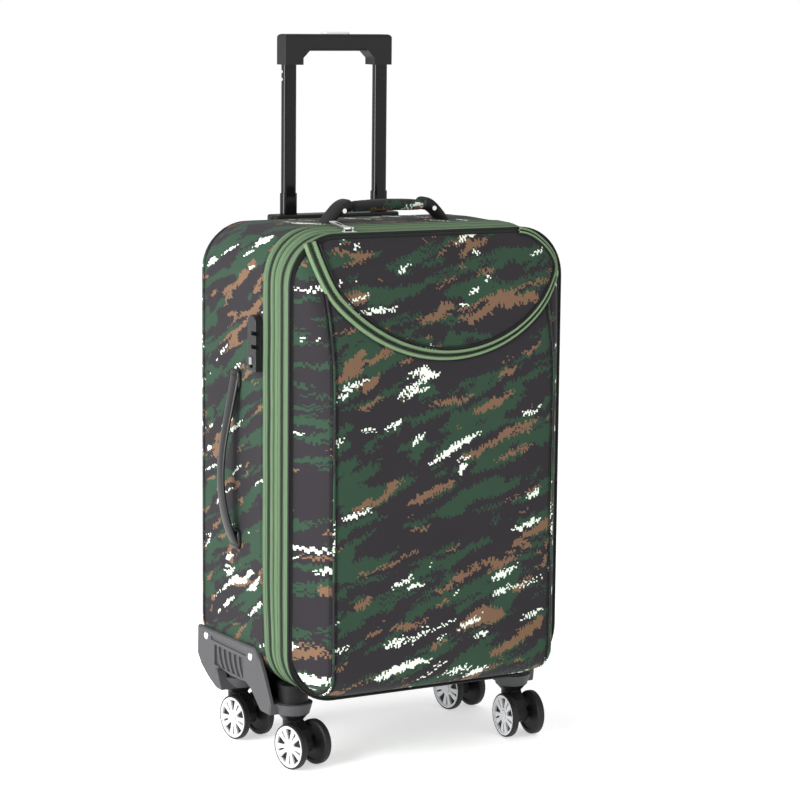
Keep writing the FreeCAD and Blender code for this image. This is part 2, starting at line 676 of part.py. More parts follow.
def fork():
    """A neck that narrows downwards, a stem and web between the wheels, and a boss round the axle."""
    neck = Part.makeCone(NECK_R[1], NECK_R[0], FORK_TOP - NECK_Z, V(0, 0, FORK_TOP), V(0, 0, -1))
    stem = cylinder(NECK_R[0], NECK_Z - STEM_Z, V(0, 0, STEM_Z), V(0, 0, 1))
    web = prism([(-13, 57), (12.5, 57), (9, 46), (-9, 22), (-TRAIL, 18), (-30, 22), (-31, 32), (-24, 48)],
                V(2 * FORK_WEB_HALF, 0, 0), lambda u, v: V(-FORK_WEB_HALF, u, v))
    boss = cylinder(BOSS_R, 2 * FORK_WEB_HALF, V(-FORK_WEB_HALF, -TRAIL, WHEEL_R), V(1, 0, 0))
    reach = WHEEL_X[0] - 0.3
    collars = cylinder(COLLAR_R, 2 * reach, V(-reach, -TRAIL, WHEEL_R), V(1, 0, 0))
    shape = neck.fuse(stem).fuse(web).fuse(boss).fuse(collars)
    shape = shape.cut(cylinder(PIN_R + RUNNING, 30, V(0, 0, PIN_BOTTOM - 0.4), V(0, 0, 1)))
    return shape.cut(axle()).removeSplitter()


def axle():
    return cylinder(AXLE_R, 2 * AXLE_HALF, V(-AXLE_HALF, -TRAIL, WHEEL_R), V(1, 0, 0))


def tyre():
    """The black wheel on the +X side: tread and core, dished inside, with a recess for the cap outside."""
    x0, x1 = WHEEL_X
    solid = cylinder(WHEEL_R, x1 - x0, V(x0, -TRAIL, WHEEL_R), V(1, 0, 0))
    for x, radius in zip(WHEEL_X, SHOULDER_R):
        solid = solid.makeFillet(radius, [e for e in solid.Edges
                                          if e.BoundBox.XLength < 0.01 and abs(e.BoundBox.XMin - x) < 0.01])
    dish = cylinder(WHEEL_R - 6, 1.5, V(x0, -TRAIL, WHEEL_R), V(1, 0, 0))
    dish = dish.cut(cylinder(9, 1.5, V(x0, -TRAIL, WHEEL_R), V(1, 0, 0)))
    recess = cylinder(CAP_R + 0.05, CAP_DEPTH, V(x1 - CAP_DEPTH, -TRAIL, WHEEL_R), V(1, 0, 0))
    bore = cylinder(AXLE_R + RUNNING, AXLE_HALF + 0.3, V(0, -TRAIL, WHEEL_R), V(1, 0, 0))
    return solid.cut(dish).cut(recess).cut(bore)


def hub():
    """The white cap of the wheel on the +X side: a rim, five pairs of spokes and a boss."""
    x0 = WHEEL_X[1] - CAP_DEPTH
    x1 = WHEEL_X[1] - CAP_PROUD
    solid = cylinder(CAP_R, x1 - x0, V(x0, -TRAIL, WHEEL_R), V(1, 0, 0))
    dish = cylinder(CAP_R - 2.2, 1.0, V(x1 - 1.0, -TRAIL, WHEEL_R), V(1, 0, 0))
    boss = cylinder(6.5, 1.0, V(x1 - 1.0, -TRAIL, WHEEL_R), V(1, 0, 0))
    solid = solid.cut(dish).fuse(boss)
    step = 2 * math.pi / SPOKE_PAIRS
    for number in range(SPOKE_PAIRS):
        solid = solid.cut(hub_window((number + 0.2) * step, *WIDE_WINDOW))
        solid = solid.cut(hub_window((number + 0.7) * step, *NARROW_WINDOW))
    return solid


def hub_window(middle, radii, half_angles):
    """A hole right through the cap between two spokes."""
    corners = []
    for radius, half_angle in zip(radii, half_angles):
        for side in (-1, 1):
            angle = middle + side * half_angle
            corners.append((-TRAIL + radius * math.cos(angle), WHEEL_R + radius * math.sin(angle)))
    loop = [corners[0], corners[1], corners[3], corners[2]]
    x0 = WHEEL_X[1] - CAP_DEPTH - 1
    return prism(loop, V(CAP_DEPTH + 3, 0, 0), lambda u, v: V(x0, u, v))


def mirrored(shape):
    return shape.mirror(V(0, 0, 0), V(1, 0, 0))


def caster_parts():
    """Fork, axle and two wheels for each corner."""
    built = {"fork": fork(), "axle": axle(), "right_tyre": tyre(), "right_hub": hub()}
    built["left_tyre"] = mirrored(built["right_tyre"])
    built["left_hub"] = mirrored(built["right_hub"])
    nodes = {}
    for name, x, y, turn in CASTERS:
        for piece, shape in built.items():
            placed = shape.copy()
            placed.rotate(V(0, 0, 0), V(0, 0, 1), turn)
            placed.translate(V(x, y, 0))
            nodes[name + "_" + piece] = placed
    return nodes


# ---- assembly

def all_parts():
    seam_cord = piping(SEAM_PIPING_R + 0.05, SEAM_Y, SEAM_PIPING_R).cut(post_cutouts())
    seam_clearance = piping(SEAM_PIPING_R + 0.05, SEAM_Y, SEAM_PIPING_R + 0.2)
    pad, pad_ends = top_handle_parts()
    lock_housing, lock_latch = lock_parts()
    guard = guard_left(seam_clearance)
    parts = {
        "side_band": side_band(),
        "back_panel": back_panel(),
        "back_piping": seam_cord,
        "shell_frame": shell_frame(),
        "shell_lining": shell_lining(),
        "expansion_zipper": expansion_zipper(),
        "expander_band": expander_band(),
        "expander_gusset": expander_sleeve(),
        "main_zipper": main_zipper(),
        "main_slider": main_slider(),
        "main_pull": main_pull(),
        "main_piping": piping(PIPING_GROW, PIPING_Y, PIPING_R),
        "lid_panel": lid_panel(),
        "arc_slider": arc_slider(),
        "outer_tubes": tube_pair(2, OUTER_Z),
        "mid_tubes": tube_pair(1, MID_Z),
        "inner_tubes": tube_pair(0, INNER_Z),
        "tube_bracket": tube_bracket(),
        "handle_bezel": handle_bezel(seam_clearance),
        "grip": grip(),
        "release_button": release_button(),
        "stop_pins": stop_pins(),
        "top_handle_pad": pad,
        "top_handle_ends": pad_ends,
        "side_handle": side_handle(),
        "lock_housing": lock_housing,
        "lock_latch": lock_latch,
        "guard_left": guard,
        "guard_right": mirrored(guard),
        "rivets": rivets(),
        "side_feet": side_feet(),
        "caster_pins": caster_pins(),
    }
    parts.update(pocket_parts())
    parts.update(caster_parts())
    return parts


def to_origin(parts):
    """How far everything moves so that the origin is under the middle of the suitcase."""
    whole = Part.makeCompound(list(parts.values())).optimalBoundingBox(False)
    return V(-(whole.XMin + whole.XMax) / 2, -(whole.YMin + whole.YMax) / 2, -whole.ZMin)


def main():
    os.makedirs("parts", exist_ok=True)
    parts = all_parts()
    move = to_origin(parts)
    for name, shape in parts.items():
        shape.translate(move)
        shape.exportStep("parts/" + name + ".step")
    print("nodes", len(parts), "moved by", move)


main()
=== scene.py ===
import math
from collections import namedtuple

import bpy
from mathutils import Matrix, Vector, noise


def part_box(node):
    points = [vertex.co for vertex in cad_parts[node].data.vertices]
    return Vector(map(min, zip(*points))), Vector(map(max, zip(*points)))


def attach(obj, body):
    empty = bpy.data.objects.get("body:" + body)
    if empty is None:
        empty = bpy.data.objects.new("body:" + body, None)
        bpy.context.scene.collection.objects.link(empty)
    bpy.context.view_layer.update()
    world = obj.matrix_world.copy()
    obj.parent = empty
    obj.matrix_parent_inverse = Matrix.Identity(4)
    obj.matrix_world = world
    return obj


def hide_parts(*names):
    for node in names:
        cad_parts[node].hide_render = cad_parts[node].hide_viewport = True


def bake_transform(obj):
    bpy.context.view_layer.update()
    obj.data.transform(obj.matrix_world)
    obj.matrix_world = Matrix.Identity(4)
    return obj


# A soft-sided suitcase in printed fabric, standing on four twin-wheel casters.
# Metres, in the frame of the model: +Z is up, the lid and its pocket face -Y. In the helpers below,
# x is measured from the bag's middle plane.

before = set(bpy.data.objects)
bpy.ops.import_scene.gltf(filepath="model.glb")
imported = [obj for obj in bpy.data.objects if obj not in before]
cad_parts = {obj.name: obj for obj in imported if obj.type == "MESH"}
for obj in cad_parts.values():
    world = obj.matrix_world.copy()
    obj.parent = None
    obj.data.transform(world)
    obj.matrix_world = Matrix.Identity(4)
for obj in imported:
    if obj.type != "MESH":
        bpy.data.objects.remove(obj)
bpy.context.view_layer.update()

# ---- sizes, read from the frame where it has them

MM = 0.001
side_low, side_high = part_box("side_band")
MID_X = (side_low.x + side_high.x) / 2
MID_Z = (side_low.z + side_high.z) / 2
HALF_W = (side_high.x - side_low.x) / 2
HALF_H = (side_high.z - side_low.z) / 2
BOTTOM = side_low.z
TOP = side_high.z
SHELL_FRONT = side_low.y
SEAM = side_high.y
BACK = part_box("back_panel")[1].y
EXPANSION_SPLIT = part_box("expander_band")[1].y
LID_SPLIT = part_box("expander_band")[0].y
LID_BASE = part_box("lid_panel")[0].y
PIPING_BACK = 3 * MM            # the visible piping stands this far behind the CAD ring
PIPING_Y = (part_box("main_piping")[0].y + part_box("main_piping")[1].y) / 2 + PIPING_BACK
POCKET_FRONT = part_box("pocket_front")[0].y
POCKET_SIDE = (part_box("pocket_front")[1].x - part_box("pocket_front")[0].x) / 2

CORNER_R = 60 * MM              # corners of the bag's front outline
BACK_EDGE_R = 20 * MM
MAIN_PIPING_R = 1.7 * MM
MAIN_PIPING_GROW = 2.8 * MM
SEAM_PIPING_R = 1.3 * MM
POCKET_PIPING_R = 1.6 * MM

# The bulge of the padded sides and top
SIDE_BULGE = 3.0 * MM
TOP_BULGE = 7.5 * MM
RIPPLE = 0.6 * MM
HELD_FLAT = 90 * MM             # above the guards, the sides reach their full bulge over this height

# The stuffed pocket on the lid
POCKET_INSET = 2 * MM           # its foot stands this far inside the outline
POCKET_DEPTH = LID_BASE - POCKET_FRONT
POCKET_CROWN = 4 * MM
GUSSET_CROWN = 3.5 * MM
SLOPE_CROWN = 3 * MM
FOOT_REACH = 8 * MM             # the curves of the foot and of the slope aim this much past the full depth,
SLOPE_REACH = 2 * MM            # so that they meet the front at an angle
FOOT_HEIGHT = 54 * MM
FOLD_Z = 514 * MM               # the pocket slopes back to the piping above this height
EDGE_DEPTH = 3.5 * MM
FOLD_SOFTNESS = 4 * MM

# The curved zipper: a circle, drawn up at its left end and round the corner at its right end
ARC_X = 10 * MM
ARC_Z = 727.5 * MM
ARC_R = 202 * MM
ARC_HALF = 5.6 * MM
ARC_INSET = 4.6 * MM            # from the outline, where it runs round the corner
ARC_WIDENING = 1.3              # factor on every offset from its centre line

# A stop on a path: its point, the way the path runs, the way across it, and the way out of the surface
Frame = namedtuple("Frame", "point along across out")


def place(x, y, z):
    """A point in space, from x measured from the bag's middle plane."""
    return Vector((MID_X + x, y, z))


def ease(t):
    """0 to 1, smoothly."""
    t = min(1.0, max(0.0, t))
    return t * t * (3 - 2 * t)


def travelled(points):
    """Distance along a line of points, at each of them."""
    marks = [0.0]
    for first, second in zip(points, points[1:]):
        marks.append(marks[-1] + math.dist(first, second))
    return marks


# ---- meshes

def link_object(name, data):
    thing = bpy.data.objects.new(name, data)
    bpy.context.collection.objects.link(thing)
    return thing


def add_object(name, mesh, material, body):
    piece = link_object(name, mesh)
    mesh.materials.append(material)
    for polygon in mesh.polygons:
        polygon.use_smooth = True
    if body:
        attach(piece, body)
    return piece


def make(name, points, faces, material, body, uvs=None):
    """A piece from points and faces; uvs holds one pair per corner, in metres of cloth."""
    mesh = bpy.data.meshes.new(name)
    mesh.from_pydata([tuple(p) for p in points], [], faces)
    if uvs:
        layer = mesh.uv_layers.new(name="cloth")
        flat = [value for pair in uvs for value in pair]
        layer.data.foreach_set("uv", flat)
    mesh.validate()
    mesh.update()
    return add_object(name, mesh, material, body)


def grid_faces(rows, columns, wrap):
    """Quads over a grid of rows and columns of points."""
    faces = []
    for i in range(rows - 1):
        for j in range(columns if wrap else columns - 1):
            k = (j + 1) % columns
            faces.append((i * columns + j, i * columns + k, (i + 1) * columns + k, (i + 1) * columns + j))
    return faces


def quad_uvs(rows, columns, cloth):
    """One pair per corner of each quad of a grid."""
    uvs = []
    for i in range(rows - 1):
        for j in range(columns):
            uvs += [cloth(i, j), cloth(i, j + 1), cloth(i + 1, j + 1), cloth(i + 1, j)]
    return uvs


def grid(name, rows, cloth, material, body, wrap=False, flip=False):
    """A surface through rows of points. cloth(i, j) gives the place on the flat cloth."""
    columns = len(rows[0])
    faces = grid_faces(len(rows), columns, wrap)
    uvs = quad_uvs(len(rows), columns if wrap else columns - 1, cloth)
    if flip:
        faces = [face[::-1] for face in faces]
        uvs = [uv for start in range(0, len(uvs), 4) for uv in uvs[start:start + 4][::-1]]
    return make(name, [p for row in rows for p in row], faces, material, body, uvs)


def settle(piece):
    """Applies the piece's modifiers to its mesh."""
    bpy.context.view_layer.update()
    graph = bpy.context.evaluated_depsgraph_get()
    mesh = bpy.data.meshes.new_from_object(piece.evaluated_get(graph), depsgraph=graph)
    piece.modifiers.clear()
    piece.data = mesh
    for polygon in mesh.polygons:
        polygon.use_smooth = True
    return piece


def thicken(piece, thickness):
    """Gives a sheet its thickness, inwards."""
    solid = piece.modifiers.new("thickness", "SOLIDIFY")
    solid.thickness = thickness
    solid.offset = -1
    solid.use_quality_normals = True
    return settle(piece)


def subdivide(piece):
    modifier = piece.modifiers.new("smooth", "SUBSURF")
    modifier.levels = 1
    modifier.render_levels = 1
    return settle(piece)


def bevel(piece, width):
    """Softens a moulded piece's edges. It stays a modifier, because the frame's meshes don't change."""
    modifier = piece.modifiers.new("edges", "BEVEL")
    modifier.width = width
    modifier.segments = 2
    modifier.limit_method = "ANGLE"
    modifier.angle_limit = math.radians(40)
    return piece


def tube(name, path, radius, material, body, closed=False, sides=10):
    """A round cord along frames."""
    rows = []
    for stop in path:
        ring = []
        for k in range(sides):
            angle = 2 * math.pi * k / sides
            ring.append(stop.point + stop.across * (radius * math.cos(angle))
                        + stop.out * (radius * math.sin(angle)))
        rows.append(ring)
    if closed:
        rows.append(rows[0])
    lengths = travelled([row[0] for row in rows])
    girth = 2 * math.pi * radius

    def cloth(i, j):
        return lengths[i], girth * j / sides

    points = [p for row in rows for p in row]
    count = len(rows)
    faces = []
    uvs = []
    stations = count - 1 if closed else count
    for i in range(count - 1):
        for j in range(sides):
            k = (j + 1) % sides
            after = (i + 1) % stations
            faces.append((i * sides + j, after * sides + j, after * sides + k, i * sides + k))
            uvs += [cloth(i, j), cloth(i + 1, j), cloth(i + 1, j + 1), cloth(i, j + 1)]
    if closed:
        points = points[:stations * sides]
    else:
        faces.append(tuple(range(sides)))
        uvs += [(0.0, 0.0)] * sides
        faces.append(tuple(range((count - 1) * sides, count * sides))[::-1])
        uvs += [(lengths[-1], 0.0)] * sides
    return make(name, points, faces, material, body, uvs)


def scatter(name, stops, shape, faces, material, body):
    """One piece made of the same small form set down at each frame. shape lists (along, across, out)."""
    points = []
    all_faces = []
    for stop in stops:
        start = len(points)
        for along, across, out in shape:
            points.append(stop.point + stop.along * along + stop.across * across + stop.out * out)
        all_faces += [tuple(start + k for k in face) for face in faces]
    return make(name, points, all_faces, material, body)


def tooth_shape(width, near, far, height):
    """A rounded tooth of a zipper's coil, from near to far across the tape."""
    half = width / 2
    section = [(-half, 0.0), (-half, 0.55 * height), (-0.5 * half, height), (0.5 * half, height),
               (half, 0.55 * height), (half, 0.0)]
    shape = [(a, near, o) for a, o in section] + [(0.7 * a, far, 0.8 * o) for a, o in section]
    count = len(section)
    ends = [tuple(range(count))[::-1], tuple(range(count, 2 * count))]
    return shape, ends + grid_faces(2, count, True)


def stitch_shape(length, radius):
    """One stitch of thread that dips into the cloth at both ends."""
    shape = []
    sides = 6
    steps = ((-0.5, 0.45, -0.9), (-0.3, 1.0, 0.1), (0.3, 1.0, 0.1), (0.5, 0.45, -0.9))
    for share, swell, lift in steps:
        for k in range(sides):
            angle = 2 * math.pi * k / sides
            shape.append((share * length, radius * swell * math.cos(angle),
                          radius * (lift + swell * math.sin(angle))))
    faces = [tuple(range(sides)), tuple(range(3 * sides, 4 * sides))[::-1]]
    for i in range(3):
        for k in range(sides):
            after = (k + 1) % sides
            faces.append((i * sides + k, (i + 1) * sides + k, (i + 1) * sides + after, i * sides + after))
    return shape, faces


def spaced(path, pitch, phase=0.0, closed=True):
    """Frames at an even pitch along a path of frames."""
    stops = list(path) + ([path[0]] if closed else [])
    found = []
    travelled = 0.0
    wanted = phase * pitch
    for first, second in zip(stops, stops[1:]):
        step = (second.point - first.point).length
        while step > 0 and wanted <= travelled + step:
            t = (wanted - travelled) / step
            found.append(Frame(*[a.lerp(b, t) for a, b in zip(first, second)]))
            wanted += pitch
        travelled += step
    return [Frame(f.point, f.along.normalized(), f.across.normalized(), f.out.normalized()) for f in found]


def stitches(name, path, material, body, closed=True, pitch=4.4 * MM, length=3.3 * MM,
             radius=0.42 * MM):
    shape, faces = stitch_shape(length, radius)
    return scatter(name, spaced(path, pitch, closed=closed), shape, faces, material, body)


# ---- the bag's outline

def stations():
    """(corner centre x, corner centre z, direction) round the outline, from the middle of the bottom."""
    flat_w = HALF_W - CORNER_R
    flat_h = HALF_H - CORNER_R
    corners = [(flat_w, -flat_h, -90), (flat_w, flat_h, 0), (-flat_w, flat_h, 90), (-flat_w, -flat_h, 180)]
    spacing = 11 * MM
    turns = 14
    found = []

    def straight(start, end, direction):
        count = max(1, round(math.dist(start, end) / spacing))
        for k in range(count):
            t = k / count
            found.append((start[0] + (end[0] - start[0]) * t, start[1] + (end[1] - start[1]) * t, direction))

    straight((0.0, -flat_h), corners[0][:2], -90)
    for number, (x, z, first) in enumerate(corners):
        for k in range(turns):
            found.append((x, z, first + 90 * k / turns))
        following = corners[number + 1][:2] if number < 3 else (0.0, -flat_h)
        straight((x, z), following, first + 90)
    return [(x, z, math.radians(a)) for x, z, a in found]


STATIONS = stations()


def outline_frames(y, grow):
    """Frames round the outline at depth y, moved out by grow. Across is towards the front."""
    frames = []
    radius = CORNER_R + grow
    for x, z, angle in STATIONS:
        out = Vector((math.cos(angle), 0, math.sin(angle)))
        along = Vector((-math.sin(angle), 0, math.cos(angle)))
        point = place(x, y, MID_Z + z) + out * radius
        frames.append(Frame(point, along, Vector((0, -1, 0)), out))
    return frames


# Distance round the outline at each station, with the whole girth last
OUTLINE = [stop.point for stop in outline_frames(0.0, 0.0)]
GIRTH = travelled(OUTLINE + OUTLINE[:1])


def band(name, profile, material, body, bulge=None):
    """A ring of cloth round the outline. profile lists (y, grow) from back to front;
    bulge(out, z, y) adds to grow."""
    rows = []
    for y, grow in profile:
        row = []
        for stop in outline_frames(y, 0.0):
            extra = bulge(stop.out, stop.point.z, y) if bulge else 0.0
            row.append(stop.point + stop.out * (grow + extra))
        rows.append(row)
    marks = travelled(profile)
    return grid(name, rows, lambda i, j: (GIRTH[j], marks[i]), material, body, wrap=True)


# ---- materials

class Nodes:
    """Adds shader nodes to one material."""

    def __init__(self, name):
        self.material = bpy.data.materials.new(name)
        self.material.use_nodes = True
        self.tree = self.material.node_tree
        self.tree.nodes.clear()
        self.shader = self.add("ShaderNodeBsdfPrincipled")
        output = self.add("ShaderNodeOutputMaterial")
        self.tree.links.new(self.shader.outputs[0], output.inputs[0])
        self.coordinates = self.add("ShaderNodeTexCoord")

    @classmethod
    def on(cls, material):
        """More nodes for a material made before."""
        nodes = cls.__new__(cls)
        nodes.material = material
        nodes.tree = material.node_tree
        nodes.shader = nodes.tree.nodes["Principled BSDF"]
        nodes.coordinates = nodes.tree.nodes["Texture Coordinate"]
        return nodes

    @property
    def where(self):
        """The place on the object, in metres."""
        return self.coordinates.outputs["Object"]

    def add(self, kind, **inputs):
        node = self.tree.nodes.new(kind)
        for name, value in inputs.items():
            self.put(node.inputs[name.replace("_", " ")], value)
        return node

    def put(self, socket, value):
        if isinstance(value, bpy.types.NodeSocket):
            self.tree.links.new(value, socket)
        else:
            socket.default_value = value

    def finish(self, **inputs):
        for name, value in inputs.items():
            self.put(self.shader.inputs[name.replace("_", " ")], value)
        return self.material

    def math(self, operation, *values):
        node = self.add("ShaderNodeMath")
        node.operation = operation
        for socket, value in zip(node.inputs, values):
            self.put(socket, value)
        return node.outputs[0]

    def times(self, first, second):
        return self.math("MULTIPLY", first, second)

    def plus(self, first, second):
        return self.math("ADD", first, second)

    def vector(self, x, y, z=0.0):
        return self.add("ShaderNodeCombineXYZ", X=x, Y=y, Z=z).outputs[0]

    def noise(self, where, scale, detail=2.0, roughness=0.5, distortion=0.0):
        return self.add("ShaderNodeTexNoise", Vector=where, Scale=scale, Detail=detail, Roughness=roughness,
                        Distortion=distortion).outputs[0]

    def mix(self, share, first, second):
        node = self.add("ShaderNodeMix")
        node.data_type = "RGBA"
        self.put(node.inputs[0], share)
        self.put(node.inputs[6], first)
        self.put(node.inputs[7], second)
        return node.outputs[2]

    def span(self, value, low, high):
        """Spreads a 0 to 1 value between two numbers."""
        return self.math("MULTIPLY_ADD", value, high - low, low)

    def step(self, value, low, high):
        """0 below low, 1 above high, smooth between."""
        node = self.add("ShaderNodeMapRange")
        node.interpolation_type = "SMOOTHSTEP"
        self.put(node.inputs["Value"], value)
        self.put(node.inputs["From Min"], low)
        self.put(node.inputs["From Max"], high)
        return node.outputs[0]

    def bump(self, height, distance, strength=1.0):
        return self.add("ShaderNodeBump", Height=height, Distance=distance, Strength=strength).outputs[0]


def rgb(red, green, blue):
    """A colour from 0-255 display values."""
    def linear(value):
        value /= 255
        return value / 12.92 if value <= 0.04045 else ((value + 0.055) / 1.055) ** 2.4
    return (linear(red), linear(green), linear(blue), 1.0)


CHARCOAL = rgb(45, 42, 46)
FOREST = rgb(46, 69, 54)
EARTH = rgb(116, 90, 70)
PALE = rgb(226, 236, 222)
SAGE = rgb(102, 126, 96)
DEEP_GREEN = rgb(38, 56, 36)


def weave(nodes, u, v, pitch):
    """Height of a plain weave, 0 to 1, from cloth millimetres."""
    across = nodes.math("SINE", nodes.times(u, 2 * math.pi / pitch))
    down = nodes.math("SINE", nodes.times(v, 2 * math.pi / pitch))
    return nodes.span(nodes.times(across, down), 0.5, 1.0)


def cloth_mm(nodes):
    """The cloth's own coordinates in millimetres."""
    split = nodes.add("ShaderNodeSeparateXYZ", Vector=nodes.coordinates.outputs["UV"])
    return [nodes.times(split.outputs[k], 1000.0) for k in (0, 1)]


def camo(name, tilt, shift, seed):
    """Printed fabric: ragged streaks of four colours, made of small square cells, on a plain weave."""
    nodes = Nodes(name)
    u, v = cloth_mm(nodes)
    u = nodes.plus(u, shift[0])
    v = nodes.plus(v, shift[1])
    cell_u = 2.0
    cell_v = 1.9
    block_v = 19.0              # cells of one column are shifted together over this height
    ragged_v = 3.2
    column = nodes.math("FLOOR", nodes.math("DIVIDE", u, cell_u))
    block = nodes.math("FLOOR", nodes.math("DIVIDE", v, block_v))
    dice = nodes.add("ShaderNodeTexWhiteNoise", Vector=nodes.vector(column, block, seed)).outputs[0]
    ragged = nodes.plus(v, nodes.span(dice, -ragged_v, ragged_v))
    row = nodes.math("FLOOR", nodes.math("DIVIDE", ragged, cell_v))
    square_u = nodes.times(column, cell_u)
    square_v = nodes.times(row, cell_v)
    cos = math.cos(math.radians(tilt))
    sin = math.sin(math.radians(tilt))
    along = nodes.plus(nodes.times(square_u, cos), nodes.times(square_v, sin))
    across = nodes.plus(nodes.times(square_u, -sin), nodes.times(square_v, cos))

    def layer(length, width, offset, threshold):
        where = nodes.vector(nodes.times(along, 1 / length),
                             nodes.times(across, 1 / width), seed * 3.7 + offset)
        return nodes.math("GREATER_THAN", nodes.noise(where, 1.0, 2.2, 0.55, 0.65), threshold)

    colour = nodes.mix(layer(105.0, 23.0, 0.0, 0.5), CHARCOAL, FOREST)
    colour = nodes.mix(layer(90.0, 21.0, 11.0, 0.61), colour, EARTH)
    colour = nodes.mix(layer(80.0, 20.0, 37.0, 0.57), colour, CHARCOAL)
    colour = nodes.mix(layer(90.0, 18.0, 23.0, 0.645), colour, PALE)

    wide = nodes.noise(nodes.where, 9.0, 3.0)
    fine = nodes.noise(nodes.vector(u, v), 1.3, 2.0)
    threads = weave(nodes, u, v, 1.1)
    shade = nodes.times(nodes.span(wide, 0.86, 1.14), nodes.span(fine, 0.8, 1.2))
    shade = nodes.times(shade, nodes.span(threads, 0.9, 1.06))
    colour = nodes.mix(1.0, colour, nodes.vector(shade, shade, shade))
    colour.node.blend_type = "MULTIPLY"
    height = nodes.plus(nodes.times(threads, 0.6), nodes.times(fine, 0.5))
    return nodes.finish(Base_Color=colour, Roughness=nodes.span(fine, 0.74, 0.92), Sheen_Weight=0.04,
                        Sheen_Roughness=0.45, Specular_IOR_Level=0.14,
                        Normal=nodes.bump(height, 0.00022, 0.55))


def ribbed_tape(name, colour, dark, pitch=1.3):
    """Woven zipper tape: fine ribs along it, darker threads here and there."""
    nodes = Nodes(name)
    u, v = cloth_mm(nodes)
    threads = weave(nodes, u, v, pitch)
    ribs = nodes.span(nodes.math("SINE", nodes.times(v, 2 * math.pi / 2.6)), 0.5, 1.0)
    patchy = nodes.noise(nodes.vector(nodes.times(u, 0.06), v), 0.9, 3.0)
    share = nodes.times(nodes.step(ribs, 0.15, 0.75), nodes.span(patchy, 0.0, 0.7))
    tone = nodes.mix(share, colour, dark)
    tone = nodes.mix(nodes.times(threads, 0.25), tone, dark)
    height = nodes.plus(nodes.times(threads, 0.6), ribs)
    return nodes.finish(Base_Color=tone, Roughness=0.8, Sheen_Weight=0.05, Sheen_Roughness=0.4,
                        Specular_IOR_Level=0.2, Normal=nodes.bump(height, 0.00025, 0.6))


def coil_plastic(name, colour):
    nodes = Nodes(name)
    spots = nodes.noise(nodes.where, 260.0, 2.0)
    tone = nodes.mix(spots, colour, [0.45 * value for value in colour[:3]] + [1.0])
    return nodes.finish(Base_Color=tone, Roughness=0.5, Specular_IOR_Level=0.25)


def moulded(name, colour, worn, roughness, grain=900.0, depth=0.00012, strength=0.35, wear=0.3, coat=0.0,
            coat_roughness=0.2, specular=0.5):
    """Moulded plastic or rubber: fine grain, uneven gloss, and rubbed patches of a lighter tone."""
    nodes = Nodes(name)
    where = nodes.where
    fine = nodes.noise(where, grain, 3.0, 0.6)
    wide = nodes.noise(where, 22.0, 4.0, 0.6)
    scuffs = nodes.noise(where, 160.0, 6.0, 0.75, 0.4)
    rubbed = nodes.times(nodes.step(scuffs, 0.56, 0.74), nodes.step(wide, 0.45, 0.7))
    rubbed = nodes.times(rubbed, wear)
    tone = nodes.mix(rubbed, colour, worn)
    tone = nodes.mix(nodes.span(fine, 0.0, 0.25), tone, worn)
    gloss = nodes.plus(nodes.span(wide, roughness - 0.07, roughness + 0.07), nodes.times(rubbed, 0.3))
    height = nodes.plus(fine, nodes.times(scuffs, 0.4))
    return nodes.finish(Base_Color=tone, Roughness=gloss, Coat_Weight=coat, Coat_Roughness=coat_roughness,
                        Specular_IOR_Level=specular, Normal=nodes.bump(height, depth, strength))


PLATE_DEPTH = 9 * MM            # the guards' grey plates reach this far in from the bag's side
CUP_RIM = 80.3 * MM             # height of the rim of their caster cups


def guard_grey_with_painted_shade():
    """The guards' plates and cups are grey. Inboard of the plates and above the cups' rim, the posts inside
    them and what lies behind
    the plates are painted near black: painted shade for the shadow under the bag."""
    material = moulded("guard_grey_painted_shade", rgb(68, 68, 70), rgb(112, 112, 114), 0.5, 1300.0, 0.00014, 0.5,
                       0.5, specular=0.25)
    nodes = Nodes.on(material)
    split = nodes.add("ShaderNodeSeparateXYZ", Vector=nodes.where)
    from_middle = nodes.math("ABSOLUTE", nodes.math("SUBTRACT", split.outputs["X"], MID_X))
    inside = nodes.math("LESS_THAN", from_middle, HALF_W - PLATE_DEPTH)
    above_cup = nodes.math("GREATER_THAN", split.outputs["Z"], CUP_RIM)
    grey = nodes.shader.inputs["Base Color"].links[0].from_socket
    # Painted shade: near black inboard of the plates and above the cup rim, where the bag shades the posts
    # and the hollow behind the plates.
    nodes.put(nodes.shader.inputs["Base Color"],
              nodes.mix(nodes.times(inside, above_cup), grey, rgb(14, 14, 15)))
    return material


def metal(name, colour, roughness):
    """Plated or painted metal with fine drawn streaks and a few dull spots."""
    nodes = Nodes(name)
    mapping = nodes.add("ShaderNodeMapping", Vector=nodes.where, Scale=(40.0, 40.0, 900.0))
    lines = nodes.noise(mapping.outputs[0], 1.0, 3.0, 0.6)
    spots = nodes.noise(nodes.where, 70.0, 5.0, 0.7)
    dull = nodes.times(nodes.step(spots, 0.52, 0.7), 0.15)
    tone = nodes.mix(dull, colour, [0.35 * value for value in colour[:3]] + [1.0])
    gloss = nodes.plus(nodes.span(lines, roughness * 0.6, roughness * 1.4), dull)
    return nodes.finish(Base_Color=tone, Metallic=1.0, Roughness=gloss,
                        Normal=nodes.bump(lines, 0.00003, 0.4))


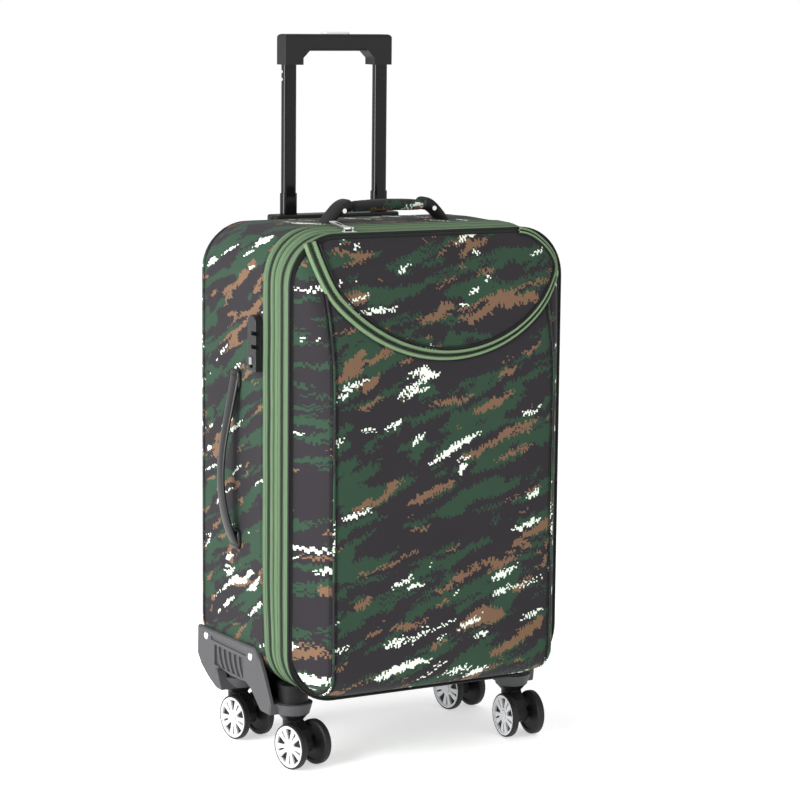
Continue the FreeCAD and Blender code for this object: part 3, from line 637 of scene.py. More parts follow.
def lining_cloth(name, colour, thread):
    """Plain lining with a fine square grid of heavier threads."""
    nodes = Nodes(name)
    split = nodes.add("ShaderNodeSeparateXYZ", Vector=nodes.where)
    lines = []
    for k in range(3):
        wave = nodes.math("SINE", nodes.times(split.outputs[k], 2 * math.pi / 0.006))
        lines.append(nodes.step(wave, 0.86, 0.98))
    ripstop = nodes.math("MAXIMUM", nodes.math("MAXIMUM", lines[0], lines[1]), lines[2])
    fine = nodes.noise(nodes.where, 700.0, 2.0)
    folds = nodes.noise(nodes.where, 14.0, 3.0, 0.5, 0.6)
    tone = nodes.mix(nodes.times(ripstop, 0.55), colour, thread)
    tone = nodes.mix(nodes.span(fine, 0.0, 0.3), tone, thread)
    height = nodes.plus(nodes.times(folds, 12.0), nodes.plus(fine, ripstop))
    return nodes.finish(Base_Color=tone, Roughness=0.55, Sheen_Weight=0.25, Sheen_Roughness=0.35,
                        Normal=nodes.bump(height, 0.0002, 0.5))


CAMO_FRONT = camo("camo_front", 19.0, (0.0, 0.0), 1.0)
CAMO_FLAP = camo("camo_flap", 12.0, (140.0, 60.0), 2.0)
CAMO_SIDE = camo("camo_side", 118.0, (320.0, 35.0), 3.0)
CAMO_GUSSET = camo("camo_gusset", 8.0, (60.0, 400.0), 5.0)
CAMO_BACK = camo("camo_back", 19.0, (500.0, 90.0), 6.0)
CAMO_HANDLE = camo("camo_handle", 10.0, (30.0, 700.0), 9.0)
TAPE = ribbed_tape("zipper_tape", SAGE, DEEP_GREEN)
COIL = coil_plastic("zipper_coil", rgb(30, 42, 28))
THREAD_GREEN = coil_plastic("green_thread", rgb(58, 80, 50))
TAPE_LIGHT = ribbed_tape("zipper_tape_light", rgb(122, 146, 112), rgb(62, 86, 56))
THREAD_BLACK = coil_plastic("black_thread", rgb(26, 26, 28))
PIPING = moulded("black_piping", rgb(16, 16, 18), rgb(54, 54, 56), 0.5, 700.0, 0.0001, 0.3, specular=0.2)
WEBBING = ribbed_tape("black_webbing", rgb(26, 27, 26), rgb(10, 11, 10), 1.5)
GUSSET_CLOTH = ribbed_tape("expander_cloth", rgb(44, 49, 43), rgb(22, 25, 22), 1.2)
HANDLE_BLACK = moulded("handle_black", rgb(20, 20, 20), rgb(58, 57, 56), 0.46, 1100.0, specular=0.22)
STRAP_RUBBER = moulded("strap_rubber", rgb(12, 12, 13), rgb(54, 54, 56), 0.3, 800.0, specular=0.4)
TUBE_BLACK = moulded("tube_black", rgb(4, 4, 5), rgb(22, 22, 24), 0.26, 1500.0, 0.00002, 0.12, 0.1, 0.4, 0.08,
                     0.1)
FORK_BLACK = moulded("fork_black", rgb(12, 12, 13), rgb(46, 46, 48), 0.42, 1000.0, specular=0.22)
TYRE = moulded("tyre_rubber", rgb(18, 18, 19), rgb(66, 65, 63), 0.5, 500.0, 0.0002, 0.5, 0.6, specular=0.25)
HUB_WHITE = moulded("hub_white", rgb(208, 209, 211), rgb(168, 169, 172), 0.34, 900.0, 0.00006, 0.3, 0.4)
BUTTON = moulded("button_grey", rgb(206, 208, 210), rgb(232, 233, 234), 0.36, 900.0)
LOCK_BLACK = moulded("lock_black", rgb(15, 15, 16), rgb(70, 70, 72), 0.34, 900.0, specular=0.4)
LINING = lining_cloth("lining", rgb(52, 56, 54), rgb(86, 92, 88))
GUARD_GREY_AND_PAINTED_SHADE = guard_grey_with_painted_shade()
CHROME = metal("chrome", (0.86, 0.86, 0.84, 1.0), 0.12)
STEEL = metal("steel", (0.56, 0.56, 0.57, 1.0), 0.3)
GREEN_METAL = metal("green_metal", rgb(112, 140, 100), 0.35)

# ---- bag body

GUARD_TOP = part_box("guard_left")[1].z
CLOTH_T = 1.4 * MM
BACK_CLOTH_T = 0.8 * MM

# How full that bulge is, by mm from the back seam: none there, and none at the lid's piping
CROWN = ((-252, 0.0), (-246, 0.15), (-238, 0.36), (-229, 0.34), (-224, 0.26), (-218, 0.44), (-210, 0.74),
         (-200, 0.92), (-188, 1.0), (-160, 1.0), (-110, 1.04), (-60, 0.92), (-20, 0.5), (-6, 0.2), (0, 0.0))


def crown(y):
    """The share of the bulge at depth y."""
    depth = (y - SEAM) / MM
    for (first, low), (second, high) in zip(CROWN, CROWN[1:]):
        if depth <= second:
            return low + (high - low) * ease((depth - first) / (second - first)) if depth > first else low
    return 0.0


def shell_swell(out, z, y):
    """How far the padded band stands out: most on top, nothing where the guards hold it."""
    above_guard = ease((z - GUARD_TOP) / HELD_FLAT)
    sides = SIDE_BULGE * out.x * out.x * above_guard
    top = TOP_BULGE * max(0.0, out.z) ** 1.5
    ripple = RIPPLE * noise.noise(Vector((out.x * 3, z * 21, y * 17))) * above_guard
    return crown(y) * (sides + top + ripple)


def shell_fabric():
    steps = 20
    hem = 3 * MM
    profile = [(SEAM, -1.4 * MM), (SEAM - 0.8 * MM, -0.2 * MM)]
    for k in range(1, steps):
        profile.append((SEAM + (SHELL_FRONT + hem - SEAM) * k / steps, 0.0))
    profile += [(SHELL_FRONT + hem, 0.1 * MM), (SHELL_FRONT + 1.2 * MM, 0.2 * MM),
                (SHELL_FRONT + 0.3 * MM, -0.1 * MM), (SHELL_FRONT, -1.3 * MM)]
    piece = band("side_fabric", profile, CAMO_SIDE, "shell", shell_swell)
    thicken(piece, CLOTH_T)
    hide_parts("side_band")
    stitches("hem_stitches", raised_frames(SHELL_FRONT + 4.5 * MM, 0.2 * MM), THREAD_BLACK,
             "shell")


def back_fabric():
    rows = []
    profile = [(SEAM, -1.2 * MM), (SEAM + 0.8 * MM, -0.1 * MM)]
    flat_at = BACK - BACK_EDGE_R
    for k in range(7):
        angle = math.radians(15 * k)
        profile.append((flat_at + BACK_EDGE_R * math.sin(angle), BACK_EDGE_R * (math.cos(angle) - 1)))
    profile += [(BACK, -30 * MM), (BACK, -42 * MM), (BACK, -52 * MM)]
    for y, grow in profile:
        rows.append([f.point for f in outline_frames(y, grow)])
    count = len(rows[0])
    points = [p for row in rows for p in row]
    faces = [face[::-1] for face in grid_faces(len(rows), count, True)]
    last = (len(rows) - 1) * count
    faces.append(tuple(range(last, last + count))[::-1])
    uvs = [(points[k].x, points[k].z) for face in faces for k in face]
    piece = make("back_fabric", points, faces, CAMO_BACK, "shell", uvs)
    thicken(piece, BACK_CLOTH_T)
    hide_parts("back_panel")


def seam_piping():
    path = outline_frames(SEAM, 0.6 * MM)
    piece = tube("back_seam_piping", path, SEAM_PIPING_R, CAMO_SIDE, "shell", closed=True)
    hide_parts("back_piping")


# ---- zippers round the bag

TOOTH_PITCH = 2.6 * MM
TOOTH_HEIGHT = 1.0 * MM
TOOTH_WIDTH = 1.7 * MM
TOOTH_ROOT = 3.6 * MM           # from the middle of the zipper to a tooth's root in its own tape
TOOTH_TIP = 1.6 * MM            # and to its tip, past the middle
TAPE_T = 0.9 * MM
STITCHED_AT = 0.19              # the stitched groove, as a share of the tape's width


def tape_profile(edge, coil, ridge):
    """A tape's section from its sewn edge to its coil: a stitched groove, a soft ridge, a step down."""
    shape = [(0.0, -1.8 * MM), (0.0, -0.3 * MM), (0.08, 0.5 * MM), (0.14, 0.4 * MM),
             (STITCHED_AT, -0.5 * MM), (0.24, 0.1 * MM), (0.34, 0.75 * ridge), (0.45, ridge),
             (0.52, 0.85 * ridge), (0.57, 0.2 * ridge), (0.60, -0.7 * MM), (1.0, -0.8 * MM), (1.0, -1.8 * MM)]
    return [(edge + (coil - edge) * share, grow) for share, grow in shape]


def tape(name, edge, coil, ridge, body):
    profile = tape_profile(edge, coil, ridge)
    if edge < coil:
        profile.reverse()
    piece = band(name, profile, TAPE, body, shell_swell)
    thicken(piece, TAPE_T)
    groove = edge + (coil - edge) * STITCHED_AT
    stitches(name + "_stitches", raised_frames(groove, -0.5 * MM), THREAD_GREEN, body,
             pitch=3.6 * MM, length=2.7 * MM, radius=0.35 * MM)
    return piece


def raised_frames(y, grow):
    """Frames round the outline at depth y that follow the bulge of the bag."""
    frames = []
    for stop in outline_frames(y, grow):
        lift = shell_swell(stop.out, stop.point.z, y)
        frames.append(Frame(stop.point + stop.out * lift, stop.along, stop.across, stop.out))
    return frames


def coil(name, y, back_body, front_body):
    """The two interlocked rows of teeth of a zipper at depth y."""
    path = raised_frames(y, -0.9 * MM)
    for side, body, phase in ((-1, back_body, 0.0), (1, front_body, 0.5)):
        shape, faces = tooth_shape(TOOTH_WIDTH, side * TOOTH_ROOT, -side * TOOTH_TIP, TOOTH_HEIGHT)
        scatter(name + ("_back" if side < 0 else "_front"), spaced(path, TOOTH_PITCH, phase), shape, faces,
                COIL, body)


def zippers():
    gap = 0.8 * MM
    half_slit = 1.2 * MM
    off_centre = 2 * MM
    middle = (EXPANSION_SPLIT + LID_SPLIT) / 2 + off_centre
    shell_tape = tape("shell_tape", SHELL_FRONT + 0.5 * MM, EXPANSION_SPLIT + gap, 1.0 * MM, "shell")
    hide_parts("expansion_zipper")
    back = tape("expander_tape_back", middle + half_slit, EXPANSION_SPLIT - gap, 0.9 * MM, "expander")
    tape("expander_tape_front", middle - half_slit, LID_SPLIT + gap, 1.0 * MM, "expander")
    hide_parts("expander_band")
    lid_tape = tape("lid_tape", PIPING_Y + 1.5 * MM, LID_SPLIT - gap, 1.5 * MM, "lid")
    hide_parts("main_zipper")
    coil("expansion_coil", EXPANSION_SPLIT, "shell", "expander")
    coil("main_coil", LID_SPLIT, "expander", "lid")
    core = [(EXPANSION_SPLIT - 2 * MM, -4.4 * MM), (EXPANSION_SPLIT - 2.4 * MM, -2.6 * MM),
            (middle, -2.2 * MM), (LID_SPLIT + 2.4 * MM, -2.6 * MM), (LID_SPLIT + 2 * MM, -4.4 * MM)]
    thicken(band("expander_core", core, WEBBING, "expander", shell_swell), 1.2 * MM)


def expander_gusset():
    """The cloth that unfolds between the shell and the expander when the bag is let out."""
    start = SHELL_FRONT - 2 * MM
    end = LID_SPLIT + 4 * MM
    folds = 5
    inside = 7 * MM
    steps = 8 * folds
    profile = []
    for k in range(steps + 1):
        fold = 1.1 * MM * math.sin(2 * math.pi * folds * k / steps)
        profile.append((start + (end - start) * k / steps, fold - inside))
    piece = band("expander_cloth", profile, GUSSET_CLOTH, None)
    thicken(piece, 0.8 * MM)
    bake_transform(piece)
    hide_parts("expander_gusset")


def lid_piping():
    path = outline_frames(PIPING_Y, MAIN_PIPING_GROW)
    piece = tube("lid_edge_piping", path, MAIN_PIPING_R, PIPING, "lid", closed=True, sides=14)
    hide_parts("main_piping")
    flange = [(PIPING_Y + 0.6 * MM, MAIN_PIPING_GROW - 0.5 * MM), (PIPING_Y - 0.8 * MM, 0.6 * MM),
              (LID_BASE - 0.4 * MM, -1.0 * MM), (LID_BASE - 0.8 * MM, -8 * MM)]
    thicken(band("lid_edge_flange", flange, GUSSET_CLOTH, "lid"), 0.5 * MM)


# ---- pocket on the lid

CORNER_X = HALF_W - CORNER_R
FOOT_R = CORNER_R - POCKET_INSET


def corner_drop(x, radius):
    """How far the outline's rounded corner has dropped at x, for a corner of that radius."""
    past = min(max(0.0, abs(x) - CORNER_X), radius)
    return radius - math.sqrt(radius * radius - past * past)


def foot_z(x):
    return BOTTOM + POCKET_INSET + corner_drop(x, FOOT_R)


def head_z(x):
    return TOP - POCKET_INSET - corner_drop(x, FOOT_R)


def soft_least(first, second):
    """The lower of two heights, rounded where they meet."""
    low = min(first, second)
    near = math.exp((low - first) / FOLD_SOFTNESS) + math.exp((low - second) / FOLD_SOFTNESS)
    return low - FOLD_SOFTNESS * math.log(near)


def wrinkle(x, z):
    """Slight unevenness of the stuffed cloth."""
    soft = noise.noise(Vector((x * 9, 3.1, z * 6)))
    creases = noise.noise(Vector((x * 26 + z * 9, 8.4, z * 21 - x * 12)))
    return 0.9 * MM * soft + 0.35 * MM * creases


def pocket_depth(x, z):
    """How far the stuffed pocket stands out from the lid."""
    full = POCKET_DEPTH
    above = min(1.0, max(0.0, (z - foot_z(x)) / FOOT_HEIGHT))
    foot = EDGE_DEPTH + (full + FOOT_REACH - EDGE_DEPTH) * math.sqrt(1 - (1 - above) ** 2)
    below = (head_z(x) - z) / (TOP - POCKET_INSET - FOLD_Z)
    slope = EDGE_DEPTH + (full + SLOPE_REACH - EDGE_DEPTH) * below
    if 0 < below < 1:
        slope += SLOPE_CROWN * math.sin(math.pi * below)
    inside = POCKET_SIDE - abs(x)
    if inside >= 0:
        side = full + POCKET_CROWN * (1 - (x / POCKET_SIDE) ** 2)
    else:
        t = max(0.0, 1 + inside / (HALF_W - POCKET_INSET - POCKET_SIDE))
        side = full * t + GUSSET_CROWN * math.sin(math.pi * t)
    return max(0.0, soft_least(soft_least(foot, slope), side)) + wrinkle(x, z) * min(1.0, above * 3)


def pocket_frame(x, z, lift=0.0):
    """Where the pocket's surface is, and which way it faces, lifted off it by lift."""
    step = 0.6 * MM
    slope_x = (pocket_depth(x + step, z) - pocket_depth(x - step, z)) / (2 * step)
    slope_z = (pocket_depth(x, z + step) - pocket_depth(x, z - step)) / (2 * step)
    out = Vector((-slope_x, -1.0, -slope_z)).normalized()
    point = place(x, LID_BASE - pocket_depth(x, z), z) + out * lift
    return point, out


def frames_on_pocket(path, lift=0.0):
    """Frames along a path of (x, z) on the pocket."""
    spots = [pocket_frame(x, z, lift) for x, z in path]
    frames = []
    for number, (point, out) in enumerate(spots):
        before = spots[max(0, number - 1)][0]
        after = spots[min(len(spots) - 1, number + 1)][0]
        along = (after - before).normalized()
        across = out.cross(along).normalized()
        frames.append(Frame(point, along, across, along.cross(across).normalized()))
    return frames


def resample(path, spacing):
    """The same path with evenly spaced points."""
    lengths = travelled(path)
    count = max(2, round(lengths[-1] / spacing))
    found = []
    k = 0
    for number in range(count + 1):
        wanted = lengths[-1] * number / count
        while k < len(path) - 2 and lengths[k + 1] < wanted:
            k += 1
        t = (wanted - lengths[k]) / (lengths[k + 1] - lengths[k])
        found.append(tuple(a + (b - a) * t for a, b in zip(path[k], path[k + 1])))
    return found


def arc_centre():
    """The curved zipper's centre line in (x, z), from its left end to its right end."""
    path = []
    x = -169 * MM
    while x < 170 * MM:
        rise = 60.0 * max(0.0, -145 * MM - x) ** 2
        path.append((x, ARC_Z - math.sqrt(ARC_R ** 2 - (x - ARC_X) ** 2) + rise))
        x += 4 * MM
    for degrees in range(12, 94, 4):
        angle = math.radians(degrees)
        radius = CORNER_R - ARC_INSET + 5 * MM * ease((degrees - 50) / 40)
        path.append((CORNER_X + radius * math.cos(angle), TOP - CORNER_R + radius * math.sin(angle)))
    path = resample(path, 4 * MM)
    for _ in range(8):
        path = [path[0]] + [((a[0] + 2 * b[0] + c[0]) / 4, (a[1] + 2 * b[1] + c[1]) / 4)
                            for a, b, c in zip(path, path[1:], path[2:])] + [path[-1]]
    return resample(path, 3 * MM)


ARC = arc_centre()


def arc_offset(offset):
    """The curved zipper's line moved towards the flap by the widened offset, less so at its right end."""
    moved = []
    for number, (x, z) in enumerate(ARC):
        narrower = 1 - 0.6 * ease(number / len(ARC) * 1.1)
        before = ARC[max(0, number - 1)]
        after = ARC[min(len(ARC) - 1, number + 1)]
        length = math.dist(before, after)
        shift = offset * ARC_WIDENING * narrower / length
        moved.append((x - (after[1] - before[1]) * shift, z + (after[0] - before[0]) * shift))
    return moved


def height_at(path, x):
    """z of a path of (x, z) where it passes x, on its way to the right."""
    for first, second in zip(path, path[1:]):
        if first[0] <= x <= second[0]:
            return first[1] + (second[1] - first[1]) * (x - first[0]) / (second[0] - first[0])
    return None


def patch(name, lower, upper, rows, material, body, tuck=1.0 * MM):
    """Cloth on the pocket between two lines of (x, z), dipping at its sewn edges."""
    flat = []
    for i in range(rows + 1):
        t = i / rows
        flat.append([(a[0] + (b[0] - a[0]) * t, a[1] + (b[1] - a[1]) * t) for a, b in zip(lower, upper)])
    last = len(lower) - 1
    surface = []
    for i, line in enumerate(flat):
        row = []
        for j, (x, z) in enumerate(line):
            to_seam = min(math.dist((x, z), lower[j]), math.dist((x, z), upper[j]),
                          math.dist((x, z), line[0]), math.dist((x, z), line[last]))
            point, out = pocket_frame(x, z)
            row.append(point - out * tuck * (1 - ease(to_seam / (7 * MM))))
        surface.append(row)
    piece = grid(name, surface, lambda i, j: flat[i][j], material, body)
    return thicken(piece, CLOTH_T)


def evenly(low, high, count):
    return [low + (high - low) * k / count for k in range(count + 1)]


def pocket_panels():
    edge = arc_offset(-ARC_HALF)
    margin = 1.0 * MM
    xs = evenly(-POCKET_SIDE + margin, POCKET_SIDE - margin, 60)
    front = patch("pocket_front_fabric", [(x, foot_z(x)) for x in xs],
                  [(x, height_at(edge, x)) for x in xs], 84, CAMO_FRONT, "lid")
    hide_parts("pocket_front")
    for side, name in ((-1, "left"), (1, "right")):
        columns = []
        for k in range(15):
            turn = math.asin((POCKET_SIDE + margin - CORNER_X) / FOOT_R)
            angle = turn + (math.pi / 2 - turn) * k / 14
            columns.append(side * (CORNER_X + FOOT_R * math.sin(angle)))
        lower = [(x, foot_z(x) + 0.5 * MM) for x in columns]
        upper = []
        for x in columns:
            z = height_at(edge, x)
            limit = head_z(x) - 0.5 * MM
            upper.append((x, limit if z is None else min(z, limit)))
        if side < 0:
            lower.reverse()
            upper.reverse()
        gusset = patch("pocket_gusset_" + name, lower, upper, 90, CAMO_GUSSET, "lid", 0.6 * MM)
        if side < 0:
            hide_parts("pocket_gussets")


def pocket_seams():
    edge = arc_offset(-ARC_HALF)
    for side, name in ((-1, "left"), (1, "right")):
        x = side * POCKET_SIDE
        top = height_at(edge, x)
        path = [(x, z) for z in evenly(foot_z(x) + 1 * MM, top, 110)]
        tube("pocket_piping_" + name, frames_on_pocket(path, 0.3 * MM), POCKET_PIPING_R, CAMO_GUSSET,
             "lid", sides=8)
        for shift in (-1, 1):
            row = [(x + shift * 4.2 * MM, z) for z in evenly(foot_z(x) + 4 * MM, top - 3 * MM, 110)]
            stitches("pocket_stitches_" + name + ("_in" if shift * side < 0 else "_out"),
                     frames_on_pocket(row, 0.0), THREAD_BLACK, "lid", closed=False)


def flap():
    low_edge = arc_offset(ARC_HALF)
    count = len(low_edge) - 1
    top_z = TOP - 2.5 * MM
    lower = [(x, min(z, head_z(x) - 1 * MM)) for x, z in low_edge]
    upper = []
    for k in range(count + 1):
        t = k / count
        x = low_edge[0][0] + 8 * MM + (low_edge[-1][0] - low_edge[0][0] - 8 * MM) * t
        upper.append((x, min(top_z, head_z(x) - 0.5 * MM)))
    piece = patch("flap_fabric", lower, upper, 44, CAMO_FLAP, None)
    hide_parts("pocket_flap")
    soften(piece)
    path = arc_offset(ARC_HALF + 3.5 * MM)
    edge = tube("flap_edge_piping", frames_on_pocket(path[1:], 0.2 * MM), 1.5 * MM, PIPING,
                None, sides=8)
    soften(edge)
    for offset, name in ((1.5 * MM, "edge"), (7.0 * MM, "inner")):
        row = stitches("flap_stitches_" + name, frames_on_pocket(arc_offset(ARC_HALF + offset)[1:], 0.0),
                       THREAD_BLACK, None, closed=False)
        soften(row)


def soften(piece):
    """Bakes a piece of the flap's placement into its mesh."""
    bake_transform(piece)


def arc_zipper():
    for side, name, body in ((-1, "arc_tape_lid", "lid"), (1, "arc_tape_flap", None)):
        rows = []
        section = [(0.3, -1.6), (0.3, -0.2), (2.6, -0.1), (2.9, 0.9), (3.6, 1.6), (4.6, 1.7), (5.4, 1.2),
                   (5.9, 0.3), (5.9, -1.2)]
        for offset, lift in section:
            line = arc_offset(side * offset * MM)
            rows.append([f.point for f in frames_on_pocket(line, lift * MM)])
        marks = [offset * MM for offset, lift in section]
        piece = grid(name, rows, lambda i, j: (j * 3 * MM, marks[i]), TAPE_LIGHT, body,
                     flip=side > 0)
        thicken(piece, 0.6 * MM)
        shape, faces = tooth_shape(1.5 * MM, side * 2.9 * MM, -side * 1.2 * MM, 1.1 * MM)
        stops = spaced(frames_on_pocket(ARC, -0.1 * MM), 2.2 * MM, 0.25 * (1 + side), False)
        teeth = scatter(name + "_teeth", stops, shape, faces, COIL, body)
        if side < 0:
            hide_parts("arc_zipper")
        else:
            soften(piece)
            soften(teeth)


def arc_slider():
    """The curved zipper's own slider, lying along the teeth near the right end."""
    stop = frames_on_pocket(ARC, 0.6 * MM)[-30]
    rings = []
    for share, half_a, half_b in ((-1.0, 2.0, 0.5), (-0.9, 2.7, 1.1), (-0.3, 3.3, 1.4), (0.4, 3.5, 1.5),
                                  (0.9, 3.0, 1.2), (1.0, 2.4, 0.5)):
        centre = stop.point + stop.along * (share * 5.5 * MM)
        rings.append([centre + stop.across * a + stop.out * (b + 1.2 * MM)
                      for a, b in rounded_section(half_a * MM, half_b * MM, 4.0, 20)])
    slider = loft("arc_slider_body", rings, GREEN_METAL, "flap")
    subdivide(slider)
    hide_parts("arc_slider")


# ---- handles

def loft(name, rings, material, body):
    """A closed form through rings of points, capped at both ends."""
    count = len(rings[0])
    points = [p for ring in rings for p in ring]
    faces = grid_faces(len(rings), count, True)
    faces.append(tuple(range(count))[::-1])
    faces.append(tuple(range((len(rings) - 1) * count, len(rings) * count)))
    lengths = travelled([ring[0] for ring in rings])
    girths = travelled(rings[0] + rings[0][:1])
    uvs = quad_uvs(len(rings), count, lambda i, j: (lengths[i], girths[j]))
    uvs += [(0.0, girths[j]) for j in range(count)][::-1]
    uvs += [(lengths[-1], girths[j]) for j in range(count)]
    return make(name, points, faces, material, body, uvs)


def rounded_section(half_a, half_b, power=3.2, sides=24):
    """A rounded rectangle as (a, b) points."""
    def squared(wave):
        return math.copysign(abs(wave) ** (2 / power), wave)

    angles = [2 * math.pi * k / sides for k in range(sides)]
    return [(half_a * squared(math.cos(angle)), half_b * squared(math.sin(angle))) for angle in angles]


def swell(piece, voxel, pressure, cap):
    """Fills a closed pad with Blender's cloth; no point moves further than cap."""
    remesh = piece.modifiers.new("voxels", "REMESH")
    remesh.mode = "VOXEL"
    remesh.voxel_size = voxel
    settle(piece)
    rest = [v.co.copy() for v in piece.data.vertices]
    scene = bpy.context.scene
    scene.frame_set(1)
    cloth = piece.modifiers.new("cloth", "CLOTH")
    cloth.settings.use_pressure = True
    cloth.settings.uniform_pressure_force = pressure
    cloth.settings.effector_weights.gravity = 0
    cloth.settings.quality = 6
    for number in range(1, 21):
        scene.frame_set(number)
    settle(piece)
    scene.frame_set(1)
    for vertex, start in zip(piece.data.vertices, rest):
        move = vertex.co - start
        if move.length > cap:
            vertex.co = start + move * (cap / move.length)
    return subdivide(piece)


def top_handle():
    low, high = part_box("top_handle_pad")
    middle = (low + high) / 2
    into_ends = 5 * MM
    half_x = (high.x - low.x) / 2 + into_ends
    half_y = (high.y - low.y) / 2
    half_z = (high.z - low.z) / 2
    arch = 2.5 * MM
    rings = []
    for k in range(33):
        t = -1 + 2 * k / 32
        full = max(0.35, (1 - abs(t) ** 7) ** 0.35)
        centre = middle + Vector((t * half_x, 0, arch * (1 - t * t) - arch))
        section = rounded_section((half_y - 2.2 * MM) * full, (half_z - 1.2 * MM) * full, 2.6)
        rings.append([centre + Vector((0, a, b)) for a, b in section])
    pad = loft("carry_pad", rings, CAMO_HANDLE, "shell")
    swell(pad, 4 * MM, 4.0, 5 * MM)
    wrap_cloth(pad, middle)
    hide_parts("top_handle_pad")
    handle_ends(middle, half_x)


def wrap_cloth(piece, middle):
    """Cloth coordinates for a sleeve along x: along it, and round its girth."""
    layer = piece.data.uv_layers.new(name="cloth") if not piece.data.uv_layers else piece.data.uv_layers[0]
    radius = 12 * MM
    for polygon in piece.data.polygons:
        angles = []
        for loop in polygon.loop_indices:
            offset = piece.data.vertices[piece.data.loops[loop].vertex_index].co - middle
            angles.append(math.atan2(offset.y, offset.z))
        wraps = max(angles) - min(angles) > math.pi
        for loop, angle in zip(polygon.loop_indices, angles):
            if wraps and angle < 0:
                angle += 2 * math.pi
            x = piece.data.vertices[piece.data.loops[loop].vertex_index].co.x
            layer.data[loop].uv = (x - MID_X, angle * radius)


def handle_ends(middle, half_x):
    """The black ends that hold the pad and slope down to the bag."""
    foot = TOP + 2 * MM
    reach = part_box("top_handle_ends")[1].x - middle.x
    half_y = 14 * MM
    over_pad = 9 * MM
    rise = middle.z - foot
    pieces = []
    for side, name in ((-1, "left"), (1, "right")):
        rings = []
        for share, height, half_a, half_b in (
                (0.00, 1.0, 0.93, 5.5), (0.10, 1.02, 1.02, 8.6), (0.22, 1.0, 1.04, 8.8),
                (0.38, 0.93, 1.02, 7.6), (0.56, 0.72, 1.0, 6.2), (0.74, 0.46, 1.02, 5.4),
                (0.90, 0.20, 1.06, 4.8), (1.0, 0.02, 1.10, 4.4), (1.04, -0.08, 1.06, 3.2)):
            x = half_x - over_pad + (reach - half_x + over_pad) * share
            slant = 0.0 if share < 0.25 else math.radians(56) * ease((share - 0.2) / 0.5)
            centre = Vector((middle.x + side * x, middle.y, foot + rise * height))
            section = rounded_section(half_y * half_a, half_b * MM, 3.6)
            rings.append([centre + Vector((side * math.sin(slant) * b, a, math.cos(slant) * b))
                          for a, b in section])
        if side < 0:
            rings.reverse()
        pieces.append(loft("carry_end_" + name, rings, HANDLE_BLACK, "shell"))
        subdivide(pieces[-1])
    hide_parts("top_handle_ends")


def side_handle():
    low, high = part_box("side_handle")
    middle_y = (low.y + high.y) / 2
    half_y = (high.y - low.y) / 2
    face = MID_X - HALF_W
    bow = face - low.x
    end_inset = 6 * MM
    end_lift = 5.5 * MM
    length = high.z - low.z - 2 * end_inset
    rings = []
    steps = 44

    def lift(t):
        """How far the strap stands off the bag, most of all a little below its middle."""
        return end_lift + (bow - 8 * MM) * math.sin(math.pi * min(1.0, max(0.0, t)) ** 0.76) ** 1.15

    for k in range(steps + 1):
        t = k / steps
        z = low.z + end_inset + length * t
        tilt = math.atan((lift(t + 0.01) - lift(t - 0.01)) / (0.02 * length))
        width = half_y * (1.0 - 0.22 * math.sin(math.pi * t) ** 2)
        thickness = (2.7 + 1.0 * math.cos(math.pi * t) ** 6) * MM
        centre = Vector((face - lift(t), middle_y, z))
        outward = Vector((-math.cos(tilt), 0, -math.sin(tilt)))
        section = rounded_section(width, thickness, 2.4, 20)
        rings.append([centre + Vector((0, a, 0)) + outward * b for a, b in section])
    strap = loft("side_strap", rings, STRAP_RUBBER, "shell")
    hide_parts("side_handle")
    block_half = 13 * MM
    block_depth = 8.5 * MM
    for z, sign, name in ((low.z, 1, "low"), (high.z, -1, "high")):
        blocks = []
        for share, grow_y, grow_z in ((0.0, 1.0, 1.0), (0.55, 1.0, 1.0), (0.85, 0.96, 0.95),
                                      (1.0, 0.84, 0.82)):
            centre = Vector((face - block_depth * share, middle_y, z + sign * block_half))
            section = rounded_section((half_y + 1 * MM) * grow_y, block_half * grow_z, 4.0, 28)
            blocks.append([centre + Vector((0, a, b)) for a, b in section])
        block = loft("side_strap_end_" + name, blocks, STRAP_RUBBER, "shell")
        bevel(block, 0.8 * MM)
        settle(block)


# ---- moulded and metal parts that keep the model's own shapes

def finish_nodes():
    """Materials and softened edges for the pieces whose shape is already right."""
    looks = {
        "grip": (HANDLE_BLACK, 1.2), "release_button": (BUTTON, 0.5), "handle_bezel": (HANDLE_BLACK, 0.6),
        "outer_tubes": (TUBE_BLACK, 0), "mid_tubes": (TUBE_BLACK, 0), "inner_tubes": (TUBE_BLACK, 0),
        "tube_bracket": (FORK_BLACK, 0.8), "stop_pins": (CHROME, 0), "lock_housing": (LOCK_BLACK, 0.5),
        "lock_latch": (STEEL, 0.4), "guard_left": (GUARD_GREY_AND_PAINTED_SHADE, 1.0), "guard_right": (GUARD_GREY_AND_PAINTED_SHADE, 1.0),
        "rivets": (CHROME, 0.3), "side_feet": (FORK_BLACK, 0.5), "caster_pins": (STEEL, 0),
        "main_slider": (CHROME, 0.4), "main_pull": (CHROME, 0.4),
        "shell_frame": (STEEL, 0), "shell_lining": (LINING, 0), "lid_panel": (LINING, 0.8),
    }
    for corner in ("front_left", "front_right", "back_left", "back_right"):
        looks[corner + "_fork"] = (FORK_BLACK, 0.7)
        looks[corner + "_axle"] = (STEEL, 0.4)
        for side in ("_left", "_right"):
            looks[corner + side + "_tyre"] = (TYRE, 0)
            looks[corner + side + "_hub"] = (HUB_WHITE, 0.35)
    for name, (material, width) in looks.items():
        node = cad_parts[name]
        if not node.material_slots:
            node.data.materials.append(material)
        for number in range(len(node.material_slots)):
            node.material_slots[number].material = material
        if width:
            bevel(node, width * MM)


# ---- room, lights and camera

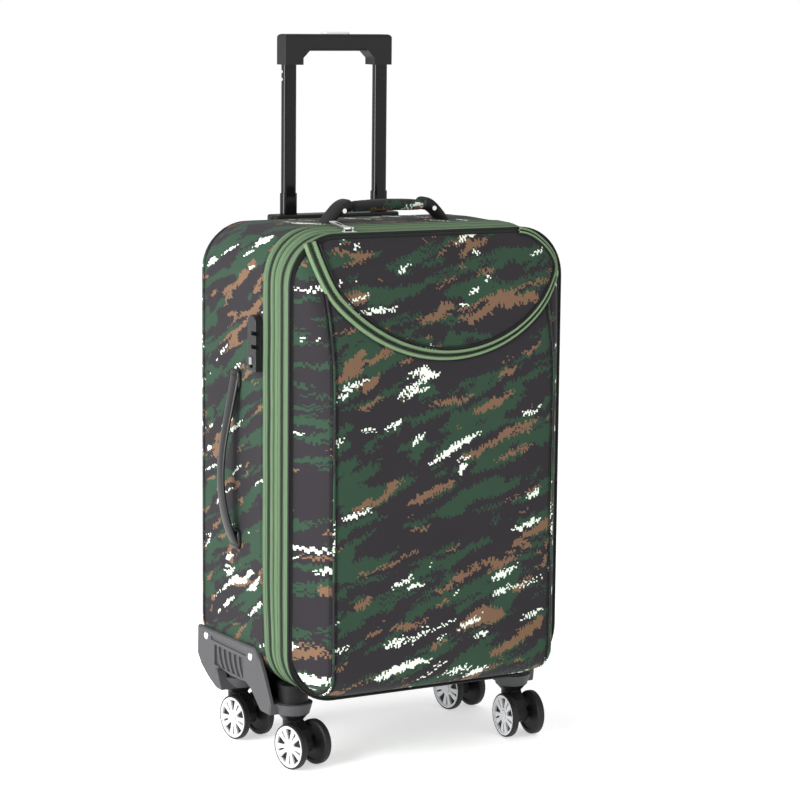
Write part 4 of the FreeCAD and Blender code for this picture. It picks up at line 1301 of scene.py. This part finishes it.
def room():
    """A pale floor that also emits about half of full white, and a world that is brightest at the horizon.
    Both bring the ground near to the photo's plain white."""
    size = 40.0
    mesh = bpy.data.meshes.new("floor")
    corners = [(-size, -size, 0), (size, -size, 0), (size, size, 0), (-size, size, 0)]
    mesh.from_pydata(corners, [], [(0, 1, 2, 3)])
    floor = link_object("floor", mesh)
    nodes = Nodes("floor_pale")
    grain = nodes.noise(nodes.where, 3.0, 2.0)
    tone = nodes.mix(grain, (0.86, 0.86, 0.86, 1.0), (0.9, 0.9, 0.9, 1.0))
    mesh.materials.append(nodes.finish(Base_Color=tone, Roughness=0.9, Specular_IOR_Level=0.1,
                                       Emission_Color=tone, Emission_Strength=0.56))
    world = bpy.data.worlds.new("studio")
    world.use_nodes = True
    tree = world.node_tree
    direction = tree.nodes.new("ShaderNodeTexCoord")
    split = tree.nodes.new("ShaderNodeSeparateXYZ")
    fade = tree.nodes.new("ShaderNodeMapRange")
    fade.inputs["From Max"].default_value = 0.55    # height of the direction where the fade ends
    fade.inputs["To Min"].default_value = 1.0       # strength at the horizon
    fade.inputs["To Max"].default_value = 0.55      # strength above
    background = tree.nodes["Background"]
    background.inputs["Color"].default_value = (1.0, 1.0, 1.0, 1.0)
    tree.links.new(direction.outputs["Generated"], split.inputs[0])
    tree.links.new(split.outputs["Z"], fade.inputs["Value"])
    tree.links.new(fade.outputs[0], background.inputs["Strength"])
    bpy.context.scene.world = world


def area_light(name, place_at, aim, size, power):
    data = bpy.data.lights.new(name, "AREA")
    data.shape = "RECTANGLE"
    data.size, data.size_y = size
    data.energy = power
    light = link_object(name, data)
    light.location = place_at
    light.rotation_mode = "QUATERNION"
    light.rotation_quaternion = (Vector(aim) - Vector(place_at)).to_track_quat("-Z", "Y")


def lights():
    aim = (0.0, 0.0, 0.45)
    area_light("key_left", (-2.6, -0.7, 1.15), aim, (1.3, 2.1), 98.0)
    area_light("fill_front", (1.2, -3.2, 1.7), aim, (1.6, 1.6), 10.0)
    area_light("top", (0.0, 0.4, 3.0), aim, (1.6, 1.6), 12.0)


def camera():
    azimuth = math.radians(-29.491)
    elevation = math.radians(8.384)
    roll = math.radians(0.553)
    distance = 3.33092
    aim = place(-0.04787, PIPING_Y - 0.01468, 0.46841)
    back = Vector((math.sin(azimuth) * math.cos(elevation), -math.cos(azimuth) * math.cos(elevation),
                   math.sin(elevation)))
    data = bpy.data.cameras.new("camera")
    data.lens = 119.975
    data.sensor_width = 36.0
    view = link_object("camera", data)
    view.rotation_mode = "QUATERNION"
    view.location = aim + back * distance
    turn = (-back).to_track_quat("-Z", "Y").to_matrix() @ Matrix.Rotation(roll, 3, "Z")
    view.rotation_quaternion = turn.to_quaternion()
    bpy.context.scene.camera = view


room()
lights()
camera()
bpy.context.scene.view_settings.view_transform = "Standard"
shell_fabric()
back_fabric()
seam_piping()
zippers()
expander_gusset()
lid_piping()
pocket_panels()
pocket_seams()
flap()
arc_zipper()
arc_slider()
top_handle()
side_handle()
finish_nodes()
